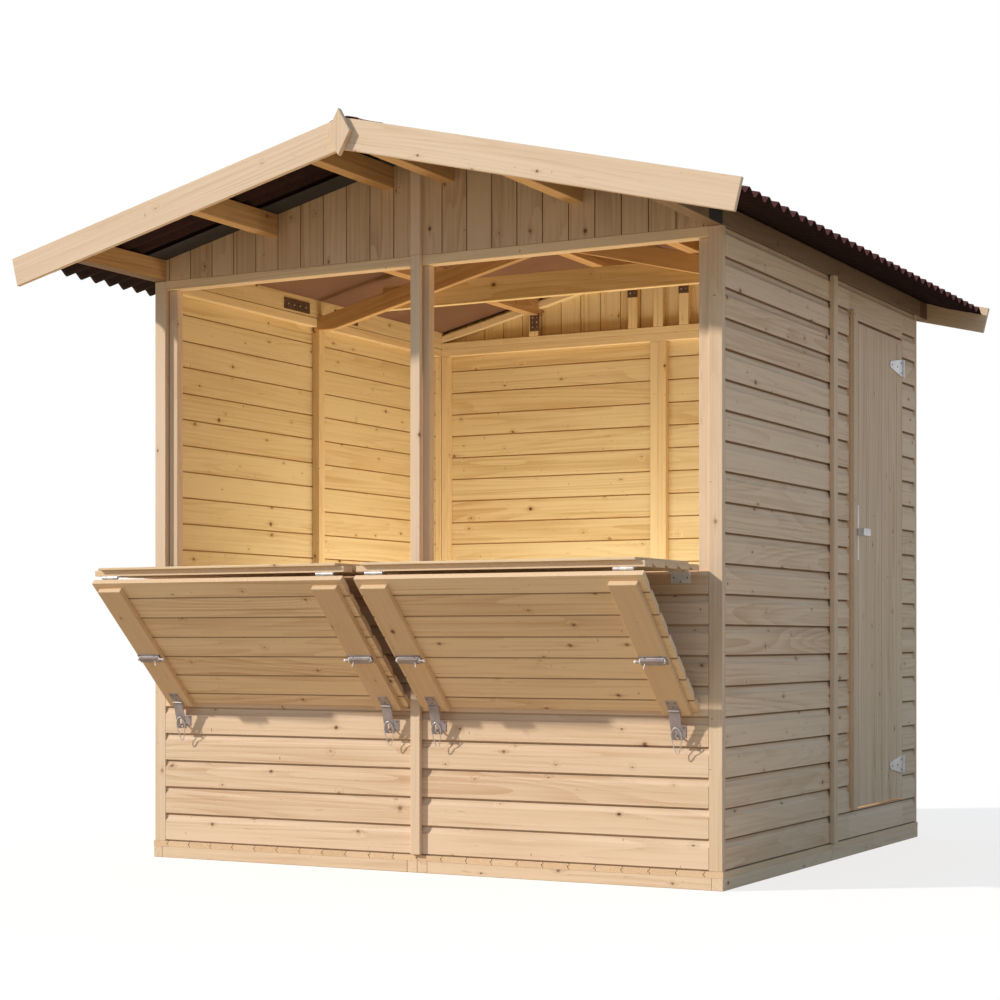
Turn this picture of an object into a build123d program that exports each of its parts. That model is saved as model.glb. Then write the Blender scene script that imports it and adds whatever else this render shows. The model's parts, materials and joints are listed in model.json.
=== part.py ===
from build123d import *
import os
from math import acos, atan, atan2, cos, hypot, radians, sin

# Wooden market hut: a timber cabin with two fold-out serving hatches, a side door and a sheet roof.
# Millimetres. The origin is the centre of the base on the ground, the serving front faces -Y, +Z is up.

# ---- Base and walls ----
base_width = 2025.0
base_depth = 1879.0
frame_height = 36.5
joist_width = 35.0
floor_board = 18.0
wall_inset = 3.0
wall_height = 1849.5
cladding = 17.0
stud_depth = 29.0
stud_width = 34.0
corner_width = 43.0
corner_depth = 21.5
batten_width = 34.0
batten_depth = 16.0
batten_end_gap = 2.5
joint_gap = 0.4
fit = 0.4
lap = 1.0

floor_top = frame_height + floor_board
wall_top = floor_top + wall_height
wall_x = base_width / 2 - wall_inset
wall_y = base_depth / 2 - wall_inset
inner_x = wall_x - cladding
inner_y = wall_y - cladding
room_x = inner_x - stud_depth
room_y = inner_y - stud_depth
corner_x = wall_x - corner_width
corner_y = wall_y - corner_depth

# ---- Serving bays ----
rail_height = 30.0
sill_height = 860.5
sill_step = 19.0
header_bottom = wall_top - rail_height
sill_z = floor_top + sill_height
bay_outer = room_x - stud_width
bay_inner = 33.0

# ---- Roof ----
roof_slope = 0.245
purlin_width = 45.0
purlin_depth = 63.6
mid_purlin_x = 542.5
ridge_purlin_x = 107.5
front_overhang = 422.5
rear_overhang = 128.0
felt_thickness = 2.0
felt_ear = 1.5
felt_front_overhang = 95.5
felt_ear_rear_gap = 49.5
sheet_gap = 0.4
sheet_depth = 17.1
eave_overhang = 204.5
sheet_ridge_x = 5.0
cap_half_width = 110.0
cap_depth = 14.0
bargeboard_width = 91.0
bargeboard_thickness = 14.0
bargeboard_rise = 6.0
bargeboard_end = 27.0
finial_width = 79.0
finial_height = 139.0
finial_thickness = 17.0
finial_rise = 23.5

sheet_eave_x = wall_x + eave_overhang
bargeboard_end_x = sheet_eave_x + bargeboard_end
eave_purlin_x = wall_x - felt_ear - purlin_width / 2
felt_peak = wall_top + purlin_depth + roof_slope * eave_purlin_x
sheet_peak = felt_peak + felt_thickness + sheet_gap
cap_peak = sheet_peak + sheet_depth + joint_gap
bargeboard_peak = sheet_peak + sheet_depth + bargeboard_rise
roof_front = -wall_y - front_overhang
roof_rear = wall_y + rear_overhang

# ---- Gable framing and the middle truss ----
gable_rail_height = 25.0
gable_rafter_drop = 15.0
gable_rafter_depth = 28.0
gable_stud_width = 39.0
king_stud_width = 20.0
rafter_width = 28.0
rafter_depth = 64.5
rafter_drop = 64.5
rafter_seat_drop = 42.0
rafter_end_gap = 12.5
tie_half_length = 700.0
tie_rise = 14.7
tie_depth = 85.3
truss_stud_depth = 31.0
truss_stud_width = 40.0

rafter_seat_z = wall_top - rafter_seat_drop
rafter_end_x = inner_x - rafter_end_gap
tie_bottom = wall_top + tie_rise

# ---- Side door ----
door_rear_gap = 153.0
door_width = 586.0
door_step = 95.5
door_head_drop = 114.0
door_gap = 5.5
door_thickness = 17.0
door_stand_off = 1.0
ledge_inset = 33.5
ledge_height = 88.0
ledge_end_gap = 144.5
ledge_handle_drop = 165.0
strip_width = 36.5
strip_thickness = 16.0
strip_foot_gap = 2.0
strip_head_lap = 28.0
door_hinge_low_gap = 119.5
door_hinge_high_gap = 96.5
door_hinge_height = 62.0
door_barrel_radius = 4.0
door_leaf_thickness = 3.0
door_knuckle_reach = 5.0
door_strap_length = 145.0
door_plate_length = 17.0
handle_edge_gap = 64.0
handle_height = 923.5
handle_plate_width = 41.0
handle_plate_height = 185.0
handle_plate_thickness = 3.0
handle_neck_radius = 8.0
handle_neck_length = 14.5
lever_length = 72.0
lever_height = 24.0
lever_depth = 22.0

door_rear_y = corner_y - door_rear_gap
door_front_y = door_rear_y - door_width
door_sill = floor_top + door_step
door_head = wall_top - door_head_drop
door_front = door_front_y + door_gap
door_rear = door_rear_y - door_gap
door_bottom = door_sill + door_gap
door_top = door_head - door_gap
door_inner_x = inner_x + door_stand_off
door_face_x = door_inner_x + door_thickness
door_hinge_centres = (door_bottom + door_hinge_low_gap, door_top - door_hinge_high_gap)
handle_y = door_front + handle_edge_gap
handle_z = door_bottom + handle_height
ledge_centres = (door_bottom + ledge_end_gap, handle_z - ledge_handle_drop, door_top - ledge_end_gap)
strip_bottom = door_sill + strip_foot_gap
strip_top = door_head + strip_head_lap
door_axis_x = door_face_x + door_barrel_radius
door_axis_y = door_rear + door_barrel_radius

# ---- Fold-out hatches ----
hatch_clearance = 5.0
hatch_corner_gap = 24.0
counter_thickness = 17.0
counter_wall_gap = 16.0
counter_reach = 374.0
counter_rise = 2.0
lining_thickness = 8.5
lining_gap = 0.5
lining_inset = 22.0
lining_near_gap = 20.5
lining_side_gap = 20.0
lining_lip = 14.5
counter_axis_gap = 7.5
counter_axis_drop = 5.5
flap_axis_drop = 5.0
flap_length = 544.5
flap_thickness = 17.0
flap_foot_gap = 5.053
flap_edge_gap = 4.5
flap_face_gap = 4.0
cleat_width = 87.7
cleat_thickness = 17.5
cleat_inset = 19.0
cleat_start = 20.5

hatch_inner = batten_width / 2 + hatch_clearance
hatch_outer = corner_x - hatch_corner_gap
counter_near_y = -wall_y - counter_wall_gap
counter_far_y = counter_near_y - counter_reach
counter_underside = sill_z + counter_rise
lining_near_y = counter_near_y - lining_near_gap
counter_axis_y = counter_near_y + counter_axis_gap
counter_axis_z = counter_underside - counter_axis_drop
flap_axis_y = counter_far_y - flap_edge_gap
flap_axis_z = counter_underside - flap_axis_drop
flap_reach = -wall_y - flap_foot_gap - flap_axis_y
flap_foot_distance = flap_edge_gap + flap_length
flap_foot_turn = atan2(flap_face_gap, flap_foot_distance)
flap_fold = acos(flap_reach / hypot(flap_foot_distance, flap_face_gap)) - flap_foot_turn

# ---- Hatch fittings ----
leaf_thickness = 2.0
barrel_radius = 4.5
hinge_width = 61.0
hinge_leaf_length = 23.0
hinge_inset = 62.5
sill_plate_drop = 34.0
bolt_distance = 319.5
bolt_plate_width = 32.0
bolt_case_width = 18.0
bolt_case_height = 10.0
bolt_rod_radius = 4.5
bolt_overhang = 8.0
bolt_end_gap = 0.6
hasp_width = 35.0
hasp_distance = 485.0
hasp_plate_length = 40.0
hasp_knuckle_radius = 3.5
hasp_leaf_length = 87.0
hasp_leaf_lean = 16.0
hasp_slot_width = 12.0
hasp_slot_length = 28.0
hasp_slot_margin = 4.5
staple_leaf_distance = 75.2
staple_height = 33.0
staple_pin_radius = 3.0
staple_pin_length = 37.5
staple_pin_rise = 4.0

sill_plate_bottom = sill_z - sill_plate_drop
hinge_third = (hinge_width - 2 * joint_gap) / 3
hinge_centres = (hatch_inner + hinge_inset, hatch_outer - hinge_inset)
flap_plane = Plane(
    origin=(0, flap_axis_y, flap_axis_z),
    x_dir=(1, 0, 0),
    z_dir=(0, sin(flap_fold), cos(flap_fold)),
)
flap_outside = flap_face_gap + flap_thickness + cleat_thickness
knuckle_along = hasp_distance + hasp_plate_length + leaf_thickness
knuckle_out = flap_outside + hasp_knuckle_radius
knuckle_y = flap_axis_y + knuckle_along * cos(flap_fold) - knuckle_out * sin(flap_fold)
knuckle_z = flap_axis_z - knuckle_along * sin(flap_fold) - knuckle_out * cos(flap_fold)
staple_pin_z = knuckle_z - staple_leaf_distance * cos(radians(hasp_leaf_lean))
staple_plate_bottom = staple_pin_z - staple_pin_rise


# ---- Shared shapes ----
def block(x_low, x_high, y_low, y_high, z_low, z_high, mode=Mode.ADD):
    """Add a square-edged block between two corners."""
    middle = ((x_low + x_high) / 2, (y_low + y_high) / 2, (z_low + z_high) / 2)
    with Locations(middle):
        Box(x_high - x_low, y_high - y_low, z_high - z_low, mode=mode)


def side_block(side, x_near, x_far, y_low, y_high, z_low, z_high):
    """Add a block whose X runs from x_near out to x_far on one side of the middle."""
    x_low, x_high = sorted((side * x_near, side * x_far))
    block(x_low, x_high, y_low, y_high, z_low, z_high)


def prism(outline, y_low, y_high):
    """Extrude an outline of (x, z) corners from y_low to y_high."""
    with BuildSketch(Plane.XZ.offset(-y_low)) as profile:
        with BuildLine():
            Polyline(*outline, close=True)
        make_face()
    extrude(profile.sketch, amount=y_low - y_high)


def flap_block(x_low, x_high, along_low, along_high, out_low, out_high):
    """Add a block on a folded flap, measured along it and outwards from its hinge axis."""
    middle = ((x_low + x_high) / 2, (along_low + along_high) / 2, -(out_low + out_high) / 2)
    with Locations(flap_plane.location * Location(middle)):
        Box(x_high - x_low, along_high - along_low, out_high - out_low)


def cross_rod(radius, x_low, x_high, y, z):
    """Add a round rod along X."""
    with Locations(((x_low + x_high) / 2, y, z)):
        Cylinder(radius, x_high - x_low, rotation=(0, 90, 0))


def under_felt(x):
    """Height of the felt's underside over a distance from the ridge."""
    return felt_peak - roof_slope * abs(x)


def purlin_bottom(centre):
    """Height of the underside of the purlin at a distance from the ridge."""
    return under_felt(centre) - purlin_depth


def chevron(half_width, peak, thickness, y_low, y_high):
    """Add a sheet of even upright thickness over both roof slopes."""
    low = peak - roof_slope * half_width
    outline = (
        (-half_width, low),
        (0, peak),
        (half_width, low),
        (half_width, low + thickness),
        (0, peak + thickness),
        (-half_width, low + thickness),
    )
    prism(outline, y_low, y_high)


def cut_purlin_notches(y_low, y_high):
    """Cut the slots that the purlins lie in."""
    for side in (-1, 1):
        for centre in (ridge_purlin_x, mid_purlin_x, eave_purlin_x):
            x_low = side * centre - purlin_width / 2 - fit
            x_high = side * centre + purlin_width / 2 + fit
            block(x_low, x_high, y_low, y_high, purlin_bottom(centre) - fit, felt_peak, mode=Mode.SUBTRACT)


# ---- Floor ----
def make_floor_frame():
    """Two floor modules side by side, with their outer joists jointed at the middle of the depth."""
    half_depth = base_depth / 2
    module_middle = base_width / 4
    with BuildPart() as frame:
        block(-joist_width, 0, -half_depth, half_depth, 0, frame_height)
        block(joint_gap, joist_width + joint_gap, -half_depth, half_depth, 0, frame_height)
        for side in (-1, 1):
            joist_low = base_width / 2 - joist_width
            rail_near = joist_width + 2 * joint_gap
            rail_far = joist_low - joint_gap
            for end in (-1, 1):
                y_low, y_high = sorted((end * joint_gap / 2, end * half_depth))
                side_block(side, joist_low, base_width / 2, y_low, y_high, 0, frame_height)
                rail_low, rail_high = sorted((end * (half_depth - joist_width), end * half_depth))
                side_block(side, rail_near, rail_far, rail_low, rail_high, 0, frame_height)
            middle_end = half_depth - joist_width - joint_gap
            middle_low = module_middle - joist_width / 2
            middle_high = module_middle + joist_width / 2
            side_block(side, middle_low, middle_high, -middle_end, middle_end, 0, frame_height)
    return frame


def make_floor_boards():
    """The boarded floor in a front and a rear half."""
    with BuildPart() as boards:
        for end in (-1, 1):
            y_low, y_high = sorted((end * joint_gap / 2, end * base_depth / 2))
            block(-base_width / 2, base_width / 2, y_low, y_high, frame_height, floor_top)
    return boards


# ---- Walls ----
def make_corner_boards():
    """The four corner posts that the wall panels meet."""
    with BuildPart() as corners:
        for side in (-1, 1):
            for end in (-1, 1):
                y_low, y_high = sorted((end * corner_y, end * wall_y))
                side_block(side, corner_x, wall_x, y_low, y_high, floor_top, wall_top)
    return corners


def make_cover_battens():
    """Upright battens over the joints of the panels and of the gable boards."""
    half = batten_width / 2
    low = floor_top + batten_end_gap
    high = wall_top - batten_end_gap
    gable_top = under_felt(half) - fit
    with BuildPart() as battens:
        for side in (-1, 1):
            side_block(side, wall_x, wall_x + batten_depth, -half, half, low, high)
            y_low, y_high = sorted((side * wall_y, side * (wall_y + batten_depth)))
            block(-half, half, y_low, y_high, low, wall_top)
            block(-half, half, y_low, y_high, wall_top + joint_gap, gable_top)
    return battens


def make_front_panels():
    """The two clad panels under the serving bays."""
    with BuildPart() as panels:
        for side in (-1, 1):
            side_block(side, joint_gap / 2, corner_x - fit, -wall_y, -inner_y, floor_top, sill_z)
    return panels


def make_front_frame():
    """The bays' jamb studs and the sill rails between them."""
    with BuildPart() as frame:
        for side in (-1, 1):
            side_block(side, bay_outer, room_x, -inner_y, -room_y, floor_top, header_bottom)
            side_block(side, joint_gap / 2, bay_inner, -inner_y, -room_y, floor_top, header_bottom)
            rail_top = sill_z + sill_step
            rail_near = bay_inner + joint_gap
            rail_far = bay_outer - joint_gap
            side_block(side, rail_near, rail_far, -inner_y, -room_y, rail_top - rail_height, rail_top)
    return frame


def make_front_header():
    """The beam over both serving bays."""
    half = corner_x - fit
    with BuildPart() as header:
        block(-half, half, -wall_y, -room_y, header_bottom, wall_top)
    return header


def make_gable(end):
    """The boarded triangle over an end wall, cut out round the purlins."""
    half = eave_purlin_x - purlin_width / 2 - fit
    low = wall_top + joint_gap
    y_low, y_high = sorted((end * inner_y, end * wall_y))
    outline = (
        (-half, low),
        (half, low),
        (half, under_felt(half) - fit),
        (0, felt_peak - fit),
        (-half, under_felt(half) - fit),
    )
    with BuildPart() as gable:
        prism(outline, y_low, y_high)
        cut_purlin_notches(y_low, y_high)
    return gable


def gable_rafter(near, far, side, y_low, y_high):
    """Add one sloping rail of a gable frame between two distances from the ridge."""
    top = felt_peak - gable_rafter_drop
    outline = [
        (side * near, top - gable_rafter_depth - roof_slope * near),
        (side * far, top - gable_rafter_depth - roof_slope * far),
        (side * far, top - roof_slope * far),
        (side * near, top - roof_slope * near),
    ]
    prism(outline, y_low, y_high)


def make_gable_frames():
    """Rails, short studs and sloping rails behind both gables."""
    half_purlin = purlin_width / 2 + fit
    rail_half = eave_purlin_x - half_purlin
    rail_low = wall_top + joint_gap
    stud_low = rail_low + gable_rail_height + joint_gap
    king_top = felt_peak - gable_rafter_drop - gable_rafter_depth - roof_slope * king_stud_width - fit
    spans = (
        (joint_gap / 2, ridge_purlin_x - half_purlin),
        (ridge_purlin_x + half_purlin, mid_purlin_x - half_purlin),
        (mid_purlin_x + half_purlin, rail_half),
    )
    with BuildPart() as frames:
        for end in (-1, 1):
            y_low, y_high = sorted((end * room_y, end * inner_y))
            block(-rail_half, rail_half, y_low, y_high, rail_low, rail_low + gable_rail_height)
            for side in (-1, 1):
                for near, far in spans:
                    gable_rafter(near, far, side, y_low, y_high)
                side_block(side, joint_gap / 2, king_stud_width, y_low, y_high, stud_low, king_top)
                for centre in (ridge_purlin_x, mid_purlin_x):
                    near = centre - gable_stud_width / 2
                    far = centre + gable_stud_width / 2
                    side_block(side, near, far, y_low, y_high, stud_low, purlin_bottom(centre) - fit)
    return frames


def side_frame(side, extra_studs):
    """Add the studs and top rails on the room side of a side wall."""
    stud_top = header_bottom - joint_gap
    half_truss = truss_stud_width / 2
    for end in (-1, 1):
        y_low, y_high = sorted((end * (room_y - joint_gap), end * (corner_y - fit)))
        side_block(side, corner_x, inner_x, y_low, y_high, floor_top, stud_top)
        rail_ends = (end * (rafter_width + fit), end * (room_y - joint_gap))
        side_block(side, room_x, inner_x, *sorted(rail_ends), header_bottom, wall_top)
        half_low, half_high = sorted((end * joint_gap / 2, end * half_truss))
        truss_x = inner_x - truss_stud_depth
        side_block(side, truss_x, inner_x, half_low, half_high, floor_top, rafter_seat_z)
    for y_low, y_high in extra_studs:
        side_block(side, room_x, inner_x, y_low, y_high, floor_top, stud_top)


def make_left_wall():
    """The clad left wall in a front and a rear panel."""
    with BuildPart() as wall:
        for end in (-1, 1):
            y_low, y_high = sorted((end * joint_gap / 2, end * corner_y))
            side_block(-1, inner_x, wall_x, y_low, y_high, floor_top, wall_top)
    return wall


def make_left_frame():
    """The left wall's studs and rails."""
    with BuildPart() as frame:
        side_frame(-1, ())
    return frame


def make_right_wall_front():
    """The clad panel in front of the door's half of the right wall."""
    with BuildPart() as panel:
        block(inner_x, wall_x, -corner_y, -joint_gap / 2, floor_top, wall_top)
    return panel


def make_right_wall_beside_door():
    """The cladding on both sides of the doorway."""
    with BuildPart() as panels:
        block(inner_x, wall_x, joint_gap / 2, door_front_y, floor_top, wall_top)
        block(inner_x, wall_x, door_rear_y, corner_y, floor_top, wall_top)
    return panels


def make_right_wall_over_door():
    """The cladding over the doorway."""
    with BuildPart() as panel:
        block(inner_x, wall_x, door_front_y, door_rear_y, door_head, wall_top)
    return panel


def make_right_wall_under_door():
    """The cladding under the doorway."""
    with BuildPart() as panel:
        block(inner_x, wall_x, door_front_y, door_rear_y, floor_top, door_sill)
    return panel


def make_right_frame():
    """The right wall's studs and rails, with a stud on each side of the doorway."""
    jambs = (
        (door_front_y - stud_depth, door_front_y),
        (door_rear_y, door_rear_y + stud_depth),
    )
    with BuildPart() as frame:
        side_frame(1, jambs)
    return frame


def make_back_wall():
    """The clad back wall in a left and a right panel."""
    with BuildPart() as wall:
        for side in (-1, 1):
            side_block(side, joint_gap / 2, corner_x - fit, inner_y, wall_y, floor_top, wall_top)
    return wall


def make_back_frame():
    """The back wall's studs and top rail."""
    stud_top = header_bottom - joint_gap
    rail_half = corner_x - fit
    with BuildPart() as frame:
        for side in (-1, 1):
            side_block(side, bay_outer, room_x, room_y, inner_y, floor_top, stud_top)
            side_block(side, joint_gap / 2, bay_inner, room_y, inner_y, floor_top, stud_top)
        block(-rail_half, rail_half, room_y, inner_y, header_bottom, wall_top)
    return frame


# ---- Roof ----
def make_purlins():
    """Six purlins, each bevelled on top to the slope of the roof."""
    with BuildPart() as purlins:
        for side in (-1, 1):
            for centre in (ridge_purlin_x, mid_purlin_x, eave_purlin_x):
                near = centre - purlin_width / 2
                far = centre + purlin_width / 2
                low = purlin_bottom(centre)
                outline = (
                    (side * near, low),
                    (side * far, low),
                    (side * far, under_felt(far)),
                    (side * near, under_felt(near)),
                )
                prism(outline, roof_front, roof_rear)
    return purlins


def make_rafters():
    """The middle truss's two rafters, notched for the purlins and seated on the side studs."""
    top = felt_peak - rafter_drop
    bottom = top - rafter_depth
    seat_x = (bottom - rafter_seat_z) / roof_slope
    under_eave = wall_top - fit
    eave_inner = eave_purlin_x - purlin_width / 2 - fit
    with BuildPart() as rafters:
        for side in (-1, 1):
            outline = (
                (side * joint_gap / 2, bottom),
                (side * seat_x, rafter_seat_z),
                (side * rafter_end_x, rafter_seat_z),
                (side * rafter_end_x, under_eave),
                (side * eave_inner, under_eave),
                (side * eave_inner, top - roof_slope * eave_inner),
                (side * joint_gap / 2, top),
            )
            prism(outline, -rafter_width, 0)
        cut_purlin_notches(-rafter_width, 0)
    return rafters


def make_tie_beam():
    """The truss's tie, bolted behind the rafters."""
    with BuildPart() as tie:
        block(-tie_half_length, tie_half_length, 0, rafter_width, tie_bottom, tie_bottom + tie_depth)
    return tie


def make_roof_felt():
    """The underlay on the purlins, turned down their outer faces where they overhang the walls."""
    felt_front = -wall_y - felt_front_overhang
    low = wall_top
    high = under_felt(wall_x) + felt_thickness / 2
    with BuildPart() as felt:
        chevron(wall_x, felt_peak, felt_thickness, felt_front, roof_rear)
        for side in (-1, 1):
            ear_near = wall_x - felt_ear
            side_block(side, ear_near, wall_x, felt_front, -wall_y, low, high)
            side_block(side, ear_near, wall_x, wall_y + felt_ear_rear_gap, roof_rear, low, high)
    return felt


def make_roof_sheet(side):
    """One slope of profiled sheet, as deep as its profile."""
    outline = (
        (side * sheet_ridge_x, sheet_peak - roof_slope * sheet_ridge_x),
        (side * sheet_eave_x, sheet_peak - roof_slope * sheet_eave_x),
        (side * sheet_eave_x, sheet_peak + sheet_depth - roof_slope * sheet_eave_x),
        (side * sheet_ridge_x, sheet_peak + sheet_depth - roof_slope * sheet_ridge_x),
    )
    with BuildPart() as sheet:
        prism(outline, roof_front, roof_rear)
    return sheet


def make_ridge_cap():
    """The profiled cover over the ridge, as deep as its profile."""
    with BuildPart() as cap:
        chevron(cap_half_width, cap_peak, cap_depth, roof_front, roof_rear)
    return cap


def make_bargeboards():
    """The sloping boards that close the roof at the front and at the rear."""
    angle = atan(roof_slope)
    centre_depth = bargeboard_width / cos(angle)
    end_top = bargeboard_peak - roof_slope * bargeboard_end_x
    toe_x = bargeboard_end_x - bargeboard_width * sin(angle)
    toe_z = end_top - bargeboard_width * cos(angle)
    with BuildPart() as boards:
        for y_low, y_high in (
            (roof_front - bargeboard_thickness, roof_front),
            (roof_rear, roof_rear + bargeboard_thickness),
        ):
            for side in (-1, 1):
                outline = (
                    (side * joint_gap / 2, bargeboard_peak - centre_depth),
                    (side * toe_x, toe_z),
                    (side * bargeboard_end_x, end_top),
                    (side * joint_gap / 2, bargeboard_peak),
                )
                prism(outline, y_low, y_high)
    return boards


def make_finials():
    """The diamond-shaped covers over the joints of the bargeboards."""
    centre_z = bargeboard_peak + finial_rise - finial_height / 2
    outline = (
        (-finial_width / 2, centre_z),
        (0, centre_z - finial_height / 2),
        (finial_width / 2, centre_z),
        (0, centre_z + finial_height / 2),
    )
    front = roof_front - bargeboard_thickness
    rear = roof_rear + bargeboard_thickness
    with BuildPart() as finials:
        prism(outline, front - finial_thickness, front)
        prism(outline, rear, rear + finial_thickness)
    return finials


# ---- Door ----
def make_door_leaf():
    """The boarded door."""
    with BuildPart() as leaf:
        block(door_inner_x, door_face_x, door_front, door_rear, door_bottom, door_top)
    return leaf


def make_door_ledges():
    """The cross-boards inside the door."""
    low = door_front + ledge_inset
    high = door_rear - ledge_inset
    with BuildPart() as ledges:
        for centre in ledge_centres:
            z_low = centre - ledge_height / 2
            block(door_inner_x - door_thickness, door_inner_x, low, high, z_low, z_low + ledge_height)
    return ledges


def make_door_strip():
    """The upright strip on the door's closing edge."""
    with BuildPart() as strip:
        x_high = door_face_x + strip_thickness
        block(door_face_x, x_high, door_front, door_front + strip_width, strip_bottom, strip_top)
    return strip


def make_door_handle():
    """A back plate, a neck and a short lever on each face of the door."""
    half_width = handle_plate_width / 2
    half_height = handle_plate_height / 2
    neck_reach = handle_plate_thickness + handle_neck_length
    with BuildPart() as handle:
        for face_x, out in ((door_face_x, 1), (door_inner_x, -1)):
            x_low, x_high = sorted((face_x, face_x + out * handle_plate_thickness))
            block(
                x_low,
                x_high,
                handle_y - half_width,
                handle_y + half_width,
                handle_z - half_height,
                handle_z + half_height,
            )
            neck_low, neck_high = sorted((face_x, face_x + out * (neck_reach + lap)))
            cross_rod(handle_neck_radius, neck_low, neck_high, handle_y, handle_z)
            x_low, x_high = sorted((face_x + out * neck_reach, face_x + out * (neck_reach + lever_depth)))
            block(
                x_low,
                x_high,
                handle_y - lever_length / 2,
                handle_y + lever_length / 2,
                handle_z - lever_height / 2,
                handle_z + lever_height / 2,
            )
    return handle


# ---- Door hinges ----
def upright_knuckle(z_low, z_high):
    """Add a stretch of the door hinge's barrel."""
    with Locations((door_axis_x, door_axis_y, (z_low + z_high) / 2)):
        Cylinder(door_barrel_radius, z_high - z_low)


def make_door_hinge_straps():
    """The long strap and middle knuckle of each door hinge."""
    third = (door_hinge_height - 2 * joint_gap) / 6
    x_high = door_face_x + door_leaf_thickness
    y_high = door_axis_y - door_knuckle_reach
    with BuildPart() as straps:
        for centre in door_hinge_centres:
            z_low = centre - door_hinge_height / 2
            y_low = door_rear - door_strap_length
            block(door_face_x, x_high, y_low, y_high, z_low, z_low + door_hinge_height)
            block(door_face_x, x_high, y_high, door_axis_y, centre - third, centre + third)
            upright_knuckle(centre - third, centre + third)
    return straps


def make_door_hinge_plates():
    """The wall plate and outer knuckles of each door hinge."""
    third = (door_hinge_height - 2 * joint_gap) / 6
    x_high = wall_x + door_leaf_thickness
    y_low = door_axis_y + door_knuckle_reach
    with BuildPart() as plates:
        for centre in door_hinge_centres:
            half = door_hinge_height / 2
            block(wall_x, x_high, y_low, y_low + door_plate_length, centre - half, centre + half)
            lower = (centre - half, centre - third - joint_gap)
            upper = (centre + third + joint_gap, centre + half)
            for z_low, z_high in (lower, upper):
                block(wall_x + joint_gap, x_high, door_axis_y, y_low, z_low, z_high)
                upright_knuckle(z_low, z_high)
    return plates


# ---- Hatches ----
def make_counter(side):
    """A counter board with the raised lining that lies inside it when the hatch is shut."""
    lining_low = counter_underside + counter_thickness
    lining_high = lining_low + lining_gap + lining_thickness
    lip_y = counter_far_y - lining_lip
    lining_inner = hatch_inner + lining_side_gap
    lining_outer = hatch_outer - lining_inset
    with BuildPart() as counter:
        inner, outer = hatch_inner, hatch_outer
        side_block(side, inner, outer, counter_far_y, counter_near_y, counter_underside, lining_low)
        inner, outer = lining_inner, lining_outer
        side_block(side, inner, outer, counter_far_y, lining_near_y, lining_low, lining_high)
        side_block(side, inner, outer, lip_y, counter_far_y, lining_low + lining_gap, lining_high)
    return counter


def make_counter_hinges(side):
    """The counter's hinge leaves and middle knuckles at the wall and at the flap."""
    leaf_low = counter_underside - leaf_thickness
    web_low = counter_axis_z + leaf_thickness
    web_high = counter_underside - lap
    with BuildPart() as hinges:
        for centre in hinge_centres:
            x_low = side * centre - hinge_width / 2
            x_high = side * centre + hinge_width / 2
            knuckle_low = side * centre - hinge_third / 2
            knuckle_high = side * centre + hinge_third / 2
            wall_leaf_low = counter_near_y - hinge_leaf_length
            block(x_low, x_high, wall_leaf_low, counter_near_y, leaf_low, counter_underside)
            block(knuckle_low, knuckle_high, counter_near_y - lap, counter_axis_y, web_low, web_high)
            cross_rod(barrel_radius, knuckle_low, knuckle_high, counter_axis_y, counter_axis_z)
            flap_leaf_high = counter_far_y + hinge_leaf_length
            block(x_low, x_high, counter_far_y, flap_leaf_high, leaf_low, counter_underside)
            block(knuckle_low, knuckle_high, flap_axis_y, counter_far_y + lap, web_low, web_high)
            cross_rod(barrel_radius, knuckle_low, knuckle_high, flap_axis_y, flap_axis_z)
    return hinges


def add_sill_hinge_plates():
    """Add the wall plates and outer knuckles of the counters' hinges."""
    plate_top = counter_axis_z - leaf_thickness
    for side in (-1, 1):
        for centre in hinge_centres:
            x_low = side * centre - hinge_width / 2
            x_high = side * centre + hinge_width / 2
            block(x_low, x_high, -wall_y - leaf_thickness, -wall_y, sill_plate_bottom, plate_top)
            for knuckle_low in (x_low, x_high - hinge_third):
                knuckle_high = knuckle_low + hinge_third
                web_low = plate_top - leaf_thickness
                block(knuckle_low, knuckle_high, counter_axis_y, -wall_y, web_low, counter_axis_z)
                cross_rod(barrel_radius, knuckle_low, knuckle_high, counter_axis_y, counter_axis_z)


def make_flap(side):
    """The folding flap: a boarded panel on two cleats."""
    board_out = flap_face_gap + flap_thickness
    cleats = (
        (hatch_inner + cleat_inset, hatch_inner + cleat_inset + cleat_width),
        (hatch_outer - cleat_inset - cleat_width, hatch_outer - cleat_inset),
    )
    with BuildPart() as flap:
        x_low, x_high = sorted((side * hatch_inner, side * hatch_outer))
        flap_block(x_low, x_high, flap_edge_gap, flap_foot_distance, flap_face_gap, board_out)
        cleat_near = flap_edge_gap + cleat_start
        for near, far in cleats:
            x_low, x_high = sorted((side * near, side * far))
            flap_block(x_low, x_high, cleat_near, flap_foot_distance, board_out, flap_outside)
    return flap


def add_flap_hinges(side):
    """Add the flap's hinge leaves and outer knuckles."""
    leaf_out = flap_face_gap - leaf_thickness
    for centre in hinge_centres:
        x_low = side * centre - hinge_width / 2
        x_high = side * centre + hinge_width / 2
        leaf_end = flap_edge_gap + hinge_leaf_length
        flap_block(x_low, x_high, flap_edge_gap, leaf_end, leaf_out, flap_face_gap)
        for knuckle_low in (x_low, x_high - hinge_third):
            knuckle_high = knuckle_low + hinge_third
            web_end = flap_edge_gap + lap
            flap_block(knuckle_low, knuckle_high, 0, web_end, leaf_out - lap, flap_face_gap - lap)
            cross_rod(barrel_radius, knuckle_low, knuckle_high, flap_axis_y, flap_axis_z)


def flap_rod(radius, x_low, x_high, along, out):
    """Add a rod along X at a place on a folded flap."""
    with Locations(flap_plane.location * Location(((x_low + x_high) / 2, along, -out))):
        Cylinder(radius, x_high - x_low, rotation=(0, 90, 0))


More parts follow.
